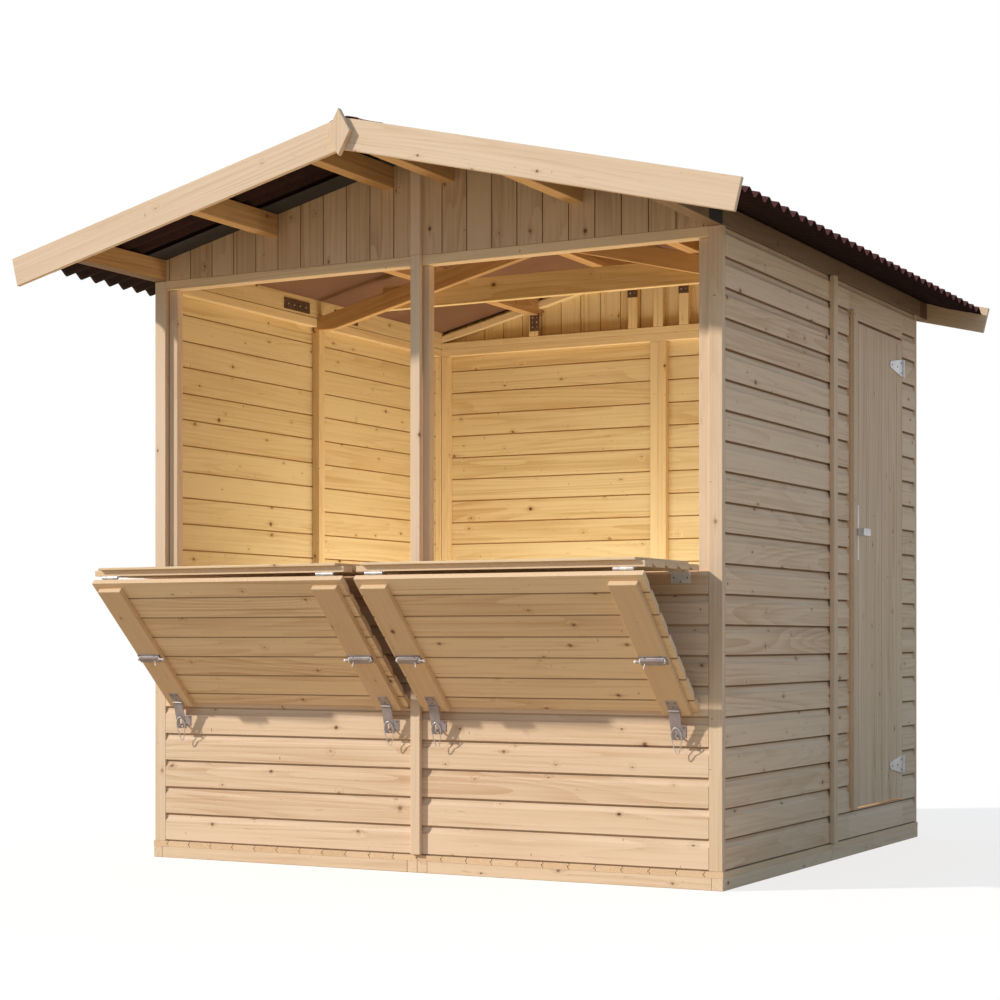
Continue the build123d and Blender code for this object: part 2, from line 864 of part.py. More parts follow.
def add_flap_bolts(side):
    """Add the slide bolts near the flap's upright edges, with their tails towards its middle."""
    case_low = flap_outside + leaf_thickness
    case_high = case_low + bolt_case_height
    rod_out = case_low + bolt_case_height / 2
    cleat_near = hatch_inner + cleat_inset
    cleat_far = hatch_outer - cleat_inset
    for edge, inwards in ((cleat_near, 1), (cleat_far, -1)):
        plate_near = edge + inwards * bolt_end_gap
        plate_far = edge + inwards * cleat_width
        rod_end = plate_far + inwards * bolt_overhang
        x_low, x_high = sorted((side * plate_near, side * plate_far))
        plate_low = bolt_distance - bolt_plate_width / 2
        plate_high = bolt_distance + bolt_plate_width / 2
        flap_block(x_low, x_high, plate_low, plate_high, flap_outside, case_low)
        case_near = plate_near + inwards * bolt_overhang
        case_far = plate_far - inwards * bolt_overhang
        case_x_low, case_x_high = sorted((side * case_near, side * case_far))
        body_low = bolt_distance - bolt_case_width / 2
        body_high = bolt_distance + bolt_case_width / 2
        flap_block(case_x_low, case_x_high, body_low, body_high, case_low, case_high)
        rod_low, rod_high = sorted((side * plate_near, side * rod_end))
        flap_rod(bolt_rod_radius, rod_low, rod_high, bolt_distance, rod_out)


def add_flap_hasps(side):
    """Add the hasps on the flap's free edge, each with its slotted leaf hanging over a wall staple."""
    lean = radians(hasp_leaf_lean)
    slot_middle = hasp_leaf_length - hasp_slot_margin - hasp_slot_length / 2
    for centre in hinge_centres:
        x_low = side * centre - hasp_width / 2
        x_high = side * centre + hasp_width / 2
        flap_block(x_low, x_high, hasp_distance, knuckle_along, flap_outside, flap_outside + leaf_thickness)
        flap_rod(hasp_knuckle_radius, x_low, x_high, knuckle_along, knuckle_out)
        leaf_plane = Plane(
            origin=(side * centre, knuckle_y, knuckle_z),
            x_dir=(1, 0, 0),
            z_dir=(0, -cos(lean), -sin(lean)),
        )
        with BuildSketch(leaf_plane) as outline:
            with Locations((0, -hasp_leaf_length / 2)):
                Rectangle(hasp_width, hasp_leaf_length)
            with Locations((0, -slot_middle)):
                SlotOverall(hasp_slot_length, hasp_slot_width, rotation=90, mode=Mode.SUBTRACT)
        extrude(outline.sketch, amount=leaf_thickness / 2, both=True)


def add_hasp_staples():
    """Add the wall plates and pins that the hasps hang over."""
    for side in (-1, 1):
        for centre in hinge_centres:
            x_low = side * centre - hasp_width / 2
            x_high = side * centre + hasp_width / 2
            plate_front = -wall_y - leaf_thickness
            plate_top = staple_plate_bottom + staple_height
            block(x_low, x_high, plate_front, -wall_y, staple_plate_bottom, plate_top)
            with Locations((side * centre, -wall_y - staple_pin_length / 2, staple_pin_z)):
                Cylinder(staple_pin_radius, staple_pin_length, rotation=(90, 0, 0))


def make_flap_fittings(side):
    """Everything of steel that is screwed to a flap."""
    with BuildPart() as fittings:
        add_flap_hinges(side)
        add_flap_bolts(side)
        add_flap_hasps(side)
    return fittings


def make_wall_fittings():
    """Everything of steel that the hatches need on the front wall."""
    with BuildPart() as fittings:
        add_sill_hinge_plates()
        add_hasp_staples()
    return fittings


# ---- Build and write every piece ----
pieces = {
    "floor_frame": make_floor_frame(),
    "floor_boards": make_floor_boards(),
    "corner_boards": make_corner_boards(),
    "cover_battens": make_cover_battens(),
    "front_panels": make_front_panels(),
    "front_frame": make_front_frame(),
    "front_header": make_front_header(),
    "front_gable": make_gable(-1),
    "back_gable": make_gable(1),
    "gable_frames": make_gable_frames(),
    "left_wall": make_left_wall(),
    "left_frame": make_left_frame(),
    "right_wall_front": make_right_wall_front(),
    "right_wall_beside_door": make_right_wall_beside_door(),
    "right_wall_over_door": make_right_wall_over_door(),
    "right_wall_under_door": make_right_wall_under_door(),
    "right_frame": make_right_frame(),
    "back_wall": make_back_wall(),
    "back_frame": make_back_frame(),
    "purlins": make_purlins(),
    "rafters": make_rafters(),
    "tie_beam": make_tie_beam(),
    "roof_felt": make_roof_felt(),
    "roof_sheet_left": make_roof_sheet(-1),
    "roof_sheet_right": make_roof_sheet(1),
    "ridge_cap": make_ridge_cap(),
    "bargeboards": make_bargeboards(),
    "finials": make_finials(),
    "door_leaf": make_door_leaf(),
    "door_ledges": make_door_ledges(),
    "door_strip": make_door_strip(),
    "door_handle": make_door_handle(),
    "door_hinge_straps": make_door_hinge_straps(),
    "door_hinge_plates": make_door_hinge_plates(),
    "wall_fittings": make_wall_fittings(),
}
for side_name, side in (("left", -1), ("right", 1)):
    pieces[f"counter_{side_name}"] = make_counter(side)
    pieces[f"counter_hinges_{side_name}"] = make_counter_hinges(side)
    pieces[f"flap_{side_name}"] = make_flap(side)
    pieces[f"flap_fittings_{side_name}"] = make_flap_fittings(side)

os.makedirs("parts", exist_ok=True)
for name, piece in pieces.items():
    piece.part.label = name
    export_step(piece.part, f"parts/{name}.step")
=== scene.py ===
import json
import math
import random

import bmesh
import bpy
import numpy as np
from mathutils import Matrix, Vector


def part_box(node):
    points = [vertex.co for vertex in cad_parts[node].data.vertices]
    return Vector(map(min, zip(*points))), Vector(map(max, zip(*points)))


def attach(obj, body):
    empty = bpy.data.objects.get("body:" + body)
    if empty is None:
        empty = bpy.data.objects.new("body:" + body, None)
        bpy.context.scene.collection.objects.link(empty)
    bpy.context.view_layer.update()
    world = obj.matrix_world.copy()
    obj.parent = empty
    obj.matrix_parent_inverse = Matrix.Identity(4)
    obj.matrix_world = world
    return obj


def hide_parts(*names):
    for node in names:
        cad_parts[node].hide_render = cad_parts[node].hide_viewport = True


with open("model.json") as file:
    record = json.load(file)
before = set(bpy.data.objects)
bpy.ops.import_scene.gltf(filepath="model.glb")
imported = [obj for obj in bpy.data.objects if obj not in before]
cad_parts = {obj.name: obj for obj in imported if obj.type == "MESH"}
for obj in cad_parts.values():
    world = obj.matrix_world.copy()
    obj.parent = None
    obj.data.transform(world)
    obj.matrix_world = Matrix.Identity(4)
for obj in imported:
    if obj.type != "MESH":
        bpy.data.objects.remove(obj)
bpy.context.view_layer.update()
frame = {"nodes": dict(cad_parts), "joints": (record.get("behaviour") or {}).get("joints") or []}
nodes = frame["nodes"]


# ---- Node trees ----
class Value:
    """A value socket that can be written in sums."""

    def __init__(self, tree, socket):
        self.tree = tree
        self.socket = socket

    def math(self, operation, *others):
        return self.tree.math(operation, self, *others)

    def __add__(self, other):
        return self.math("ADD", other)

    def __sub__(self, other):
        return self.math("SUBTRACT", other)

    def __mul__(self, other):
        return self.math("MULTIPLY", other)

    def __truediv__(self, other):
        return self.math("DIVIDE", other)

    def __radd__(self, other):
        return self.tree.math("ADD", other, self)

    def __rsub__(self, other):
        return self.tree.math("SUBTRACT", other, self)

    def __rmul__(self, other):
        return self.tree.math("MULTIPLY", other, self)

    def between(self, low, high):
        """0 below low, 1 above high and smooth between them; high may be the smaller."""
        settings = {"interpolation_type": "SMOOTHSTEP"}
        sockets = {0: self, 1: low, 2: high, 3: 0.0, 4: 1.0}
        return Value(self.tree, self.tree.result("ShaderNodeMapRange", settings, sockets))


class Tree:
    """A node tree that is filled by one method."""

    def __init__(self, node_tree):
        self.made = node_tree
        self.made.nodes.clear()

    def node(self, kind, settings=None, sockets=None):
        """A new node: its type, its settings, then the value or link of each socket."""
        made = self.made.nodes.new(kind)
        for name, value in (settings or {}).items():
            setattr(made, name, value)
        for name, value in (sockets or {}).items():
            socket = made.inputs[name]
            if isinstance(value, Value):
                value = value.socket
            if isinstance(value, bpy.types.NodeSocket):
                self.made.links.new(value, socket)
            elif value is not None:
                socket.default_value = value
        return made

    def result(self, kind, settings=None, sockets=None, output=0):
        """One output of a new node."""
        return self.node(kind, settings, sockets).outputs[output]

    def parts(self, kind, whole):
        """The parts of a vector or a colour, as values."""
        return [Value(self, part) for part in self.node(kind, None, {0: whole}).outputs]

    def math(self, operation, *values):
        sockets = dict(enumerate(values))
        return Value(self, self.result("ShaderNodeMath", {"operation": operation}, sockets))

    def vectors(self, operation, first, second=None, output=0):
        settings = {"operation": operation}
        return self.result("ShaderNodeVectorMath", settings, {0: first, 1: second}, output)

    def mix(self, factor, first, second):
        settings = {"data_type": "RGBA"}
        return self.result("ShaderNodeMix", settings, {0: factor, 6: first, 7: second}, 2)


class Finish(Tree):
    """A material with its node tree."""

    def __init__(self, name):
        self.material = bpy.data.materials.new(name)
        self.material.use_nodes = True
        super().__init__(self.material.node_tree)

    def place(self):
        return self.result("ShaderNodeTexCoord", output="Object")

    def attribute(self, name):
        return self.node("ShaderNodeAttribute", {"attribute_name": name}).outputs

    def share(self, name):
        """A stored number of each point, as a value."""
        return Value(self, self.attribute(name)["Fac"])

    def noise(self, vector, scale, detail=2.0, roughness=0.5):
        sockets = {"Vector": vector, "Scale": scale, "Detail": detail, "Roughness": roughness}
        return Value(self, self.result("ShaderNodeTexNoise", None, sockets, "Fac"))

    def streaked(self, vector, along, across, detail=2.0, roughness=0.5):
        """Noise with its own scale along the first axis."""
        return self.noise(self.vectors("MULTIPLY", vector, (along, across, across)), 1.0, detail, roughness)

    def bump(self, height, strength, distance):
        sockets = {"Strength": strength, "Distance": distance, "Height": height}
        return self.result("ShaderNodeBump", None, sockets)

    def close(self, colour, roughness, others=None):
        """The material, ended with one Principled shader."""
        sockets = {"Base Color": colour, "Roughness": roughness, **(others or {})}
        shader = self.result("ShaderNodeBsdfPrincipled", None, sockets)
        self.node("ShaderNodeOutputMaterial", None, {"Surface": shader})
        return self.material


def linear(red, green, blue):
    """A colour given as it looks, from 0 to 255, in the renderer's linear values."""
    values = []
    for part in (red, green, blue):
        part = part / 255
        values.append(part / 12.92 if part <= 0.04045 else ((part + 0.055) / 1.055) ** 2.4)
    return (*values, 1.0)


def blended(first, second, share):
    return tuple((1 - share) * a + share * b for a, b in zip(first, second))


def dimmed(colour, shares):
    return (*(share * part for share, part in zip(shares, colour)), 1.0)


# ---- Timber finishes ----
knot_cell = (0.21, 0.088)
pin_knot_cell = (0.17, 0.06)


def spots_in(finish, along, across, cell, share, size, stretch):
    """Scattered spots: distance from the nearest, its radius, how much of it is there, and its draw."""
    cell_length, cell_width = cell
    sockets = {0: along / cell_length, 1: across / cell_width}
    cells = finish.result("ShaderNodeCombineXYZ", None, sockets)
    settings = {"voronoi_dimensions": "2D"}
    found = finish.node("ShaderNodeTexVoronoi", settings, {"Vector": cells, "Scale": 1.0})
    apart = finish.vectors("SUBTRACT", cells, found.outputs["Position"])
    apart = finish.vectors("MULTIPLY", apart, (cell_length * stretch, cell_width, 0.0))
    length = Value(finish, finish.vectors("LENGTH", apart, output=1))
    first, second, third = finish.parts("ShaderNodeSeparateColor", found.outputs["Color"])
    present = first.between(1 - share, 1.02 - share)
    radius = size * (0.35 + second * second * 1.1)
    return length, radius, present, third


def make_timber(
    name, pale, dark, knot, figure=0.55, knot_share=0.55, knot_size=0.0050, joint_shade=(0.34, 0.27, 0.20)
):
    """Sawn softwood: growth rings, fine streaks, knots, painted shade in joints and under laps, and a tone
    for each board.
    """
    finish = Finish(name)
    pale, dark, knot = linear(*pale), linear(*dark), linear(*knot)
    grain = finish.attribute("grain")["Vector"]
    tone = finish.share("tone")
    along, sideways, through = finish.parts("ShaderNodeSeparateXYZ", grain)

    # knots: a dark core, a soft halo, a smear along the grain, and small pin knots between
    wander = finish.noise(grain, 55.0) - 0.5
    across = sideways + through + wander * 0.006
    length, radius, present, draw = spots_in(finish, along, across, knot_cell, knot_share, knot_size, 0.85)
    fray = (finish.noise(grain, 420.0) - 0.5) * 0.0024
    reach = (length + fray) / radius
    core = reach.between(1.06, 0.74) * present
    halo = reach.between(2.1, 0.9) * present
    swell = (length / 0.021).between(1.0, 0.0) * present
    tail = spots_in(finish, along, across, knot_cell, knot_share, knot_size, 0.16)
    smear = (tail[0] / (tail[1] * 1.5)).between(1.0, 0.0) * tail[2]
    pins = spots_in(finish, along + 3.7, across + 1.3, pin_knot_cell, 0.40, 0.0046, 2.6)
    pin = ((pins[0] + fray * 0.8) / pins[1]).between(1.1, 0.5) * pins[2]
    recess_shade = finish.share("recess_shade")

    # figure: growth rings that swell round the knots, patches, streaks and clouds
    sockets = {0: along, 1: sideways + wander * 0.004, 2: through}
    bent = finish.result("ShaderNodeCombineXYZ", None, sockets)
    rings = finish.streaked(bent, 0.42, 6.5, 1.5) * 21.0 + swell * 1.6
    rings = (rings - rings.math("FLOOR")).between(0.15, 1.0)
    patch = finish.streaked(grain, 1.1, 11.0).between(0.32, 0.72)
    streaks = finish.streaked(bent, 1.5, 120.0, 3.0, 0.65)
    lines = finish.streaked(bent, 1.1, 85.0, 1.0).between(0.64, 0.76)
    cloud = finish.streaked(grain, 1.6, 9.0)
    shade = rings * (0.15 + 0.55 * patch) * figure + streaks.between(0.30, 0.78) * 0.36
    shade = shade + (cloud - 0.38) * 0.60 + lines * 0.30 + swell * 0.16 + (tone - 0.5) * 0.36

    # colours, each laid over the last
    colour = finish.mix(shade.between(0.0, 1.12), pale, dark)
    fleck = finish.streaked(grain, 14.0, 95.0).between(0.69, 0.76)
    stain = (fleck * 0.40 + smear * 0.42).math("MINIMUM", 1.0)
    colour = finish.mix(stain, colour, blended(dark, knot, 0.28))
    colour = finish.mix(halo * 0.42, colour, blended(dark, knot, 0.4))
    middle = finish.mix(draw * draw, knot, dimmed(knot, (0.42, 0.42, 0.42)))
    colour = finish.mix(core * (0.62 + draw * 0.3), colour, middle)
    colour = finish.mix(pin * 0.66, colour, knot)
    # painted shade: joints, laps and grooves darkened by each point's stored share, towards joint_shade
    # times the dark colour
    colour = finish.mix(recess_shade, colour, dimmed(dark, joint_shade))
    height = streaks * 0.7 + rings * 0.2 - core * 0.7
    roughness = 0.62 + streaks * 0.16
    return finish.close(colour, roughness, {"Normal": finish.bump(height, 0.35, 0.0004)})


brown_knot = (112, 68, 46)
pale_knot = (148, 102, 74)
outside_wood = make_timber("outside_boards", (231, 203, 171), (198, 160, 120), brown_knot)
# darker copy of the outside boards for both gables: painted shade of the roof overhang
gable_wood_painted_shade = make_timber("gable_boards", (213, 183, 146), (176, 140, 101), brown_knot, 0.6)
smooth_wood = make_timber("smooth_posts", (225, 198, 167), (203, 169, 132), pale_knot, 0.4, 0.30, 0.0042)
inside_wood = make_timber(
    "inside_boards", (230, 204, 152), (199, 161, 101), (122, 66, 28), joint_shade=(0.56, 0.35, 0.12)
)
# darker copy of the outside boards for the eave purlins: painted shade of the roof overhang
eave_wood_painted_shade = make_timber("eave_boards_painted_shade", (142, 115, 88), (114, 86, 60), brown_knot)
inside_posts = make_timber("inside_posts", (233, 204, 152), (208, 169, 108), pale_knot, 0.4, 0.3, 0.0042)
beam_wood = make_timber("roof_beams", (206, 164, 110), (168, 121, 72), (120, 60, 40), 0.5, 0.36)
floor_wood = make_timber("floor_boards", (228, 202, 169), (196, 161, 123), brown_knot)
hatch_wood = make_timber(
    "hatch_boards", (233, 204, 163), (196, 157, 114), brown_knot, joint_shade=(0.50, 0.36, 0.22)
)
hatch_cleats = make_timber("hatch_cleats", (219, 186, 145), (200, 163, 122), pale_knot, 0.22, 0.4)


def make_end_grain():
    """The sawn ends of boards: faint growth rings, no streaks."""
    finish = Finish("end_grain")
    grain = finish.attribute("grain")["Vector"]
    tone = finish.share("tone")
    rings = finish.noise(grain, 30.0, 1.0) * 14.0
    rings = (rings - rings.math("FLOOR")).between(0.1, 1.0)
    shade = rings * 0.5 + (tone - 0.5) * 0.5
    return finish.close(finish.mix(shade, linear(230, 198, 160), linear(202, 164, 122)), 0.8)


end_grain = make_end_grain()


# ---- Other finishes ----
def make_steel(name, pale, dark, metallic, roughness):
    """Plated steel with faint clouds and fine rolling marks."""
    finish = Finish(name)
    place = finish.place()
    cloud = finish.noise(place, 34.0)
    marks = finish.noise(finish.vectors("MULTIPLY", place, (900.0, 900.0, 160.0)), 1.0)
    colour = finish.mix(cloud.between(0.25, 0.75), linear(*pale), linear(*dark))
    roughness = roughness + cloud * 0.10
    normal = finish.bump(marks, 0.10, 0.0002)
    return finish.close(colour, roughness, {"Metallic": metallic, "Normal": normal})


def make_roofing():
    """The upper side of the sheets: dark red bitumen with a fibrous skin and paler, dusty patches."""
    finish = Finish("bitumen_sheet")
    place = finish.place()
    fibres = finish.streaked(place, 140.0, 320.0, 4.0, 0.7)
    cloud = finish.noise(place, 5.0, 3.0)
    colour = finish.mix(fibres.between(0.3, 0.75), linear(112, 50, 48), linear(141, 70, 64))
    colour = finish.mix(cloud.between(0.45, 0.8) * 0.35, colour, linear(142, 88, 80))
    roughness = 0.72 + fibres * 0.18
    return finish.close(colour, roughness, {"Normal": finish.bump(fibres, 0.45, 0.0008)})


def make_sheet_underside():
    """The bare underside of the sheets, near black with a trace of red."""
    finish = Finish("sheet_underside")
    fibres = finish.streaked(finish.place(), 60.0, 240.0, 3.0, 0.6)
    colour = finish.mix(fibres.between(0.3, 0.75), linear(38, 22, 19), linear(52, 31, 27))
    return finish.close(colour, 0.9, {"Specular IOR Level": 0.2})


def make_underlay():
    """The underlay: brown and smooth inside the hut, dark grey where it shows in front of the wall."""
    finish = Finish("roof_underlay")
    place = finish.place()
    outside = finish.parts("ShaderNodeSeparateXYZ", place)[1].between(-0.900, -0.915)
    weave = finish.noise(place, 420.0)
    cloud = finish.noise(place, 3.0)
    brown = finish.mix(cloud.between(0.3, 0.7), linear(112, 80, 60), linear(124, 90, 68))
    grey = finish.mix(weave.between(0.3, 0.7), linear(46, 43, 42), linear(58, 55, 54))
    colour = finish.mix(outside, brown, grey)
    roughness = 0.75 + weave * 0.15
    return finish.close(colour, roughness, {"Normal": finish.bump(weave, 0.2, 0.0003)})


zinc = make_steel("zinc_plate", (214, 213, 215), (196, 195, 199), 0.55, 0.34)
# pale, less metallic zinc for the counter hinges, wall plates and bolts: its paleness is partly the plated
# steel and partly a painted reflection of the bright floor
pale_zinc_painted_reflection = make_steel("pale_zinc_painted_reflection", (240, 240, 238), (222, 222, 221), 0.25, 0.36)
screw_steel = make_steel("screw_heads", (128, 122, 118), (104, 98, 96), 0.6, 0.4)
grey_steel = make_steel("grey_plate", (170, 158, 156), (150, 139, 138), 0.35, 0.38)
dark_steel = make_steel("dark_plate", (112, 90, 72), (92, 72, 58), 0.35, 0.5)
roofing = make_roofing()
sheet_underside = make_sheet_underside()
underlay = make_underlay()


# ---- Shared helpers ----
def linked(name, data):
    """A new object of the scene that holds the data."""
    made = bpy.data.objects.new(name, data)
    bpy.context.scene.collection.objects.link(made)
    return made


def store(mesh, name, values):
    """Keep a number for each point of a mesh, or a vector for its grain or facing."""
    kind, field = ("FLOAT_VECTOR", "vector") if name in ("grain", "facing") else ("FLOAT", "value")
    mesh.attributes.new(name, kind, "POINT").data.foreach_set(field, values)


def mesh_of(work, name):
    """The mesh of a bmesh, which is freed."""
    mesh = bpy.data.meshes.new(name)
    work.to_mesh(mesh)
    work.free()
    return mesh


def cut(work, point, outward, **settings):
    """Cut every part of a bmesh by a plane."""
    shapes = work.verts[:] + work.edges[:] + work.faces[:]
    bmesh.ops.bisect_plane(work, geom=shapes, plane_co=point, plane_no=outward, **settings)


def placed(x_axis, y_axis, z_axis, origin):
    """The matrix that lays X, Y and Z along three directions from an origin."""
    return Matrix([*zip(x_axis, y_axis, z_axis, origin), (0, 0, 0, 1)])


def arc(centre, radius, start, turn, steps):
    """Points round a centre, from a start angle and through a turn."""
    x, y = centre
    angles = [start + turn * step / steps for step in range(steps + 1)]
    return [(x + radius * math.cos(angle), y + radius * math.sin(angle)) for angle in angles]


def reach_of(node):
    """How far a node lies from the middle of the hut, at least and at most."""
    low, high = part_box(node)
    return sorted((abs(low.x), abs(high.x)))


# ---- Node groups ----
def geometry_group(name, result, kinds):
    """A group with named inputs of the kinds given: the group, its tree and its inputs' sockets."""
    group = bpy.data.node_groups.new(name, "GeometryNodeTree")
    for label, kind in kinds.items():
        group.interface.new_socket(label, in_out="INPUT", socket_type="NodeSocket" + kind)
    group.interface.new_socket(result, in_out="OUTPUT", socket_type="NodeSocketGeometry")
    tree = Tree(group)
    return group, tree, tree.node("NodeGroupInput").outputs


def kept(tree, geometry, name, value, domain="POINT", kind="FLOAT_VECTOR"):
    """The geometry with a value stored under a name."""
    settings = {"data_type": kind, "domain": domain}
    return tree.result("GeometryNodeStoreNamedAttribute", settings, {0: geometry, 2: name, 3: value})


def recalled(tree, name):
    return tree.result("GeometryNodeInputNamedAttribute", {"data_type": "FLOAT_VECTOR"}, {0: name})


def realised(tree, geometry):
    return tree.result("GeometryNodeRealizeInstances", None, {0: geometry})


def hand_out(tree, geometry, finish):
    """Give the geometry its finish and pass it out of the group."""
    painted = tree.result("GeometryNodeSetMaterial", None, {0: geometry, 2: finish})
    tree.node("NodeGroupOutput", None, {0: painted})


def joined(tree, first, second):
    both = tree.node("GeometryNodeJoinGeometry", None, {0: first})
    tree.made.links.new(second, both.inputs[0])
    return both.outputs[0]


def board_run_tree():
    """Lays copies of one board side by side, each with its own tone and stretch of timber."""
    kinds = {"Board": "Geometry", "Count": "Int", "Step": "Vector", "Seed": "Int", "Finish": "Material"}
    group, tree, given = geometry_group("board_run", "Boards", kinds)
    board = kept(tree, given["Board"], "grain", tree.result("GeometryNodeInputPosition"))
    line = tree.result("GeometryNodeMeshLine", None, {"Count": given["Count"], "Offset": given["Step"]})
    copies = tree.result("GeometryNodeInstanceOnPoints", None, {0: line, 2: board})
    tone = tree.result("FunctionNodeRandomValue", {"data_type": "FLOAT"}, {8: given["Seed"]}, 1)
    copies = kept(tree, copies, "tone", tone, "INSTANCE", "FLOAT")
    spread = {0: (-8.0, -8.0, -8.0), 1: (8.0, 8.0, 8.0), 8: given["Seed"]}
    shift = tree.result("FunctionNodeRandomValue", {"data_type": "FLOAT_VECTOR"}, spread)
    laid = realised(tree, kept(tree, copies, "shift", shift, "INSTANCE"))
    total = tree.vectors("ADD", recalled(tree, "grain"), recalled(tree, "shift"))
    hand_out(tree, kept(tree, laid, "grain", total), given["Finish"])
    return group


def screw_run_tree():
    """Sets one screw head on every point of a mesh, square to its facing direction."""
    kinds = {"Head": "Geometry", "Places": "Object", "Size": "Float", "Seed": "Int", "Finish": "Material"}
    group, tree, given = geometry_group("screw_run", "Screws", kinds)
    places = tree.result("GeometryNodeObjectInfo", None, {"Object": given["Places"]}, "Geometry")
    facing = recalled(tree, "facing")
    spread = {2: 0.0, 3: 6.283, 8: given["Seed"]}
    spin = tree.result("FunctionNodeRandomValue", {"data_type": "FLOAT"}, spread, 1)
    turn = tree.result("FunctionNodeAxisAngleToRotation", None, {0: (0, 0, 1), 1: spin})
    aim = tree.result("FunctionNodeAlignRotationToVector", {"axis": "Z"}, {0: turn, 2: facing})
    sockets = {0: places, 2: given["Head"], 5: aim, 6: given["Size"]}
    heads = tree.result("GeometryNodeInstanceOnPoints", None, sockets)
    hand_out(tree, realised(tree, heads), given["Finish"])
    return group


def perforated_tree():
    """A flat strip with rows of round holes, from its sizes."""
    sizes = ("Length", "Width", "Hole Pitch", "Hole Radius", "Thickness")
    kinds = {"Blank": "Geometry", **dict.fromkeys(sizes, "Float"), "Columns": "Int", "Rows": "Int"}
    group, tree, given = geometry_group("perforated_strip", "Strip", {**kinds, "Finish": "Material"})
    sockets = {0: given["Length"], 1: given["Width"]}
    edge = tree.result("GeometryNodeCurvePrimitiveQuadrilateral", None, sockets)
    columns, rows = given["Columns"], given["Rows"]
    spans = [(Value(tree, count) - 1.0) * given["Hole Pitch"] for count in (columns, rows)]
    places = tree.result("GeometryNodeMeshGrid", None, {0: spans[0], 1: spans[1], 2: columns, 3: rows})
    hole = tree.result("GeometryNodeCurvePrimitiveCircle", None, {0: 10, 4: given["Hole Radius"]})
    holes = tree.result("GeometryNodeInstanceOnPoints", None, {0: places, 2: hole})
    outline = joined(tree, edge, realised(tree, holes))
    flat = tree.result("GeometryNodeFillCurve", None, {0: outline})
    under = tree.result("GeometryNodeFlipFaces", None, {0: flat})
    up = tree.result("ShaderNodeCombineXYZ", None, {2: given["Thickness"]})
    sockets = {0: flat, 2: up, 3: 1.0, 4: False}
    sides = tree.result("GeometryNodeExtrudeMesh", {"mode": "FACES"}, sockets)
    sockets = {0: joined(tree, sides, under), 2: 0.00002}
    merged = tree.result("GeometryNodeMergeByDistance", None, sockets)
    hand_out(tree, realised(tree, merged), given["Finish"])
    return group


board_run = board_run_tree()
screw_run = screw_run_tree()
perforated = perforated_tree()


def through_tree(mesh, group, inputs):
    """The plain mesh that a node tree makes of a mesh with these named inputs."""
    holder = linked("holder", mesh)
    modifier = holder.modifiers.new("tree", "NODES")
    modifier.node_group = group
    for item in group.interface.items_tree:
        if item.in_out == "INPUT" and item.name in inputs:
            modifier[item.identifier] = inputs[item.name]
    shown = holder.evaluated_get(bpy.context.evaluated_depsgraph_get())
    result = bpy.data.meshes.new_from_object(shown)
    holder.modifiers.clear()
    bpy.data.objects.remove(holder)
    return result


# ---- Boards ----
board_pitch = 0.088
board_depth = 0.017
lip_depth = 0.0072
lip_rise = 0.0045
plank_pitch = 0.0865


def extruded(outline, length):
    """A closed bar along X from (across, through) corners, some with a third value: how much painted shade
    darkens that corner.
    """
    count = len(outline)
    points = [(x, corner[0], corner[1]) for x in (0.0, length) for corner in outline]
    recess_shade = [corner[2] if len(corner) > 2 else 0.0 for corner in outline] * 2
    faces = [tuple(reversed(range(count))), tuple(range(count, 2 * count))]
    for i in range(count):
        j = (i + 1) % count
        faces.append((i, j, count + j, count + i))
    mesh = bpy.data.meshes.new("bar")
    mesh.from_pydata(points, [], faces)
    work = bmesh.new()
    work.from_mesh(mesh)
    bmesh.ops.recalc_face_normals(work, faces=work.faces)
    mesh = mesh_of(work, "bar")
    store(mesh, "recess_shade", recess_shade)
    return mesh


def cladding_outline(pitch, shade=1.0):
    """Section of a cladding board: across runs up the wall and through runs in from its face.

    A square lower lip hangs over the scoop along the top of the board below.
    Each third value is painted shade: under the lip it is scaled by shade, which is lower on sunlit walls;
    the scoop, the hidden tongue and the inner joints take fixed values.
    """
    top = pitch - 0.0006
    back = board_depth
    return [
        (lip_rise + 0.0010, 0.0), (top - 0.0220, 0.0), (top - 0.0205, 0.0002, 0.17),
        (top - 0.0180, 0.0019, 0.11), (top - 0.0145, 0.0038, 0.09), (top - 0.0105, 0.0054, 0.08),
        (top - 0.0060, 0.0066, 0.08),
        (top - 0.0015, lip_depth, 0.20 * shade), (top, lip_depth, 0.55 * shade), (top, 0.0100, 1.0),
        (top + 0.0042, 0.0104, 1.0), (top + 0.0042, 0.0131, 1.0), (top, 0.0135, 1.0),
        (top, back - 0.0026, 0.8),
        (top - 0.0021, back - 0.0007, 0.5), (top - 0.0033, back, 0.14), (top - 0.0045, back),
        (0.0043, back), (0.0031, back, 0.14), (0.0019, back - 0.0007, 0.5), (0.0, back - 0.0026, 0.8),
        (0.0, 0.0141, 1.0), (0.0048, 0.0137, 1.0), (0.0048, 0.0098, 1.0),
        (0.0, 0.0094, 1.0), (0.0, lip_depth, 0.85 * shade), (lip_rise, lip_depth, shade),
        (lip_rise, 0.0026, 0.6 * shade), (lip_rise, 0.0010, 0.1),
    ]


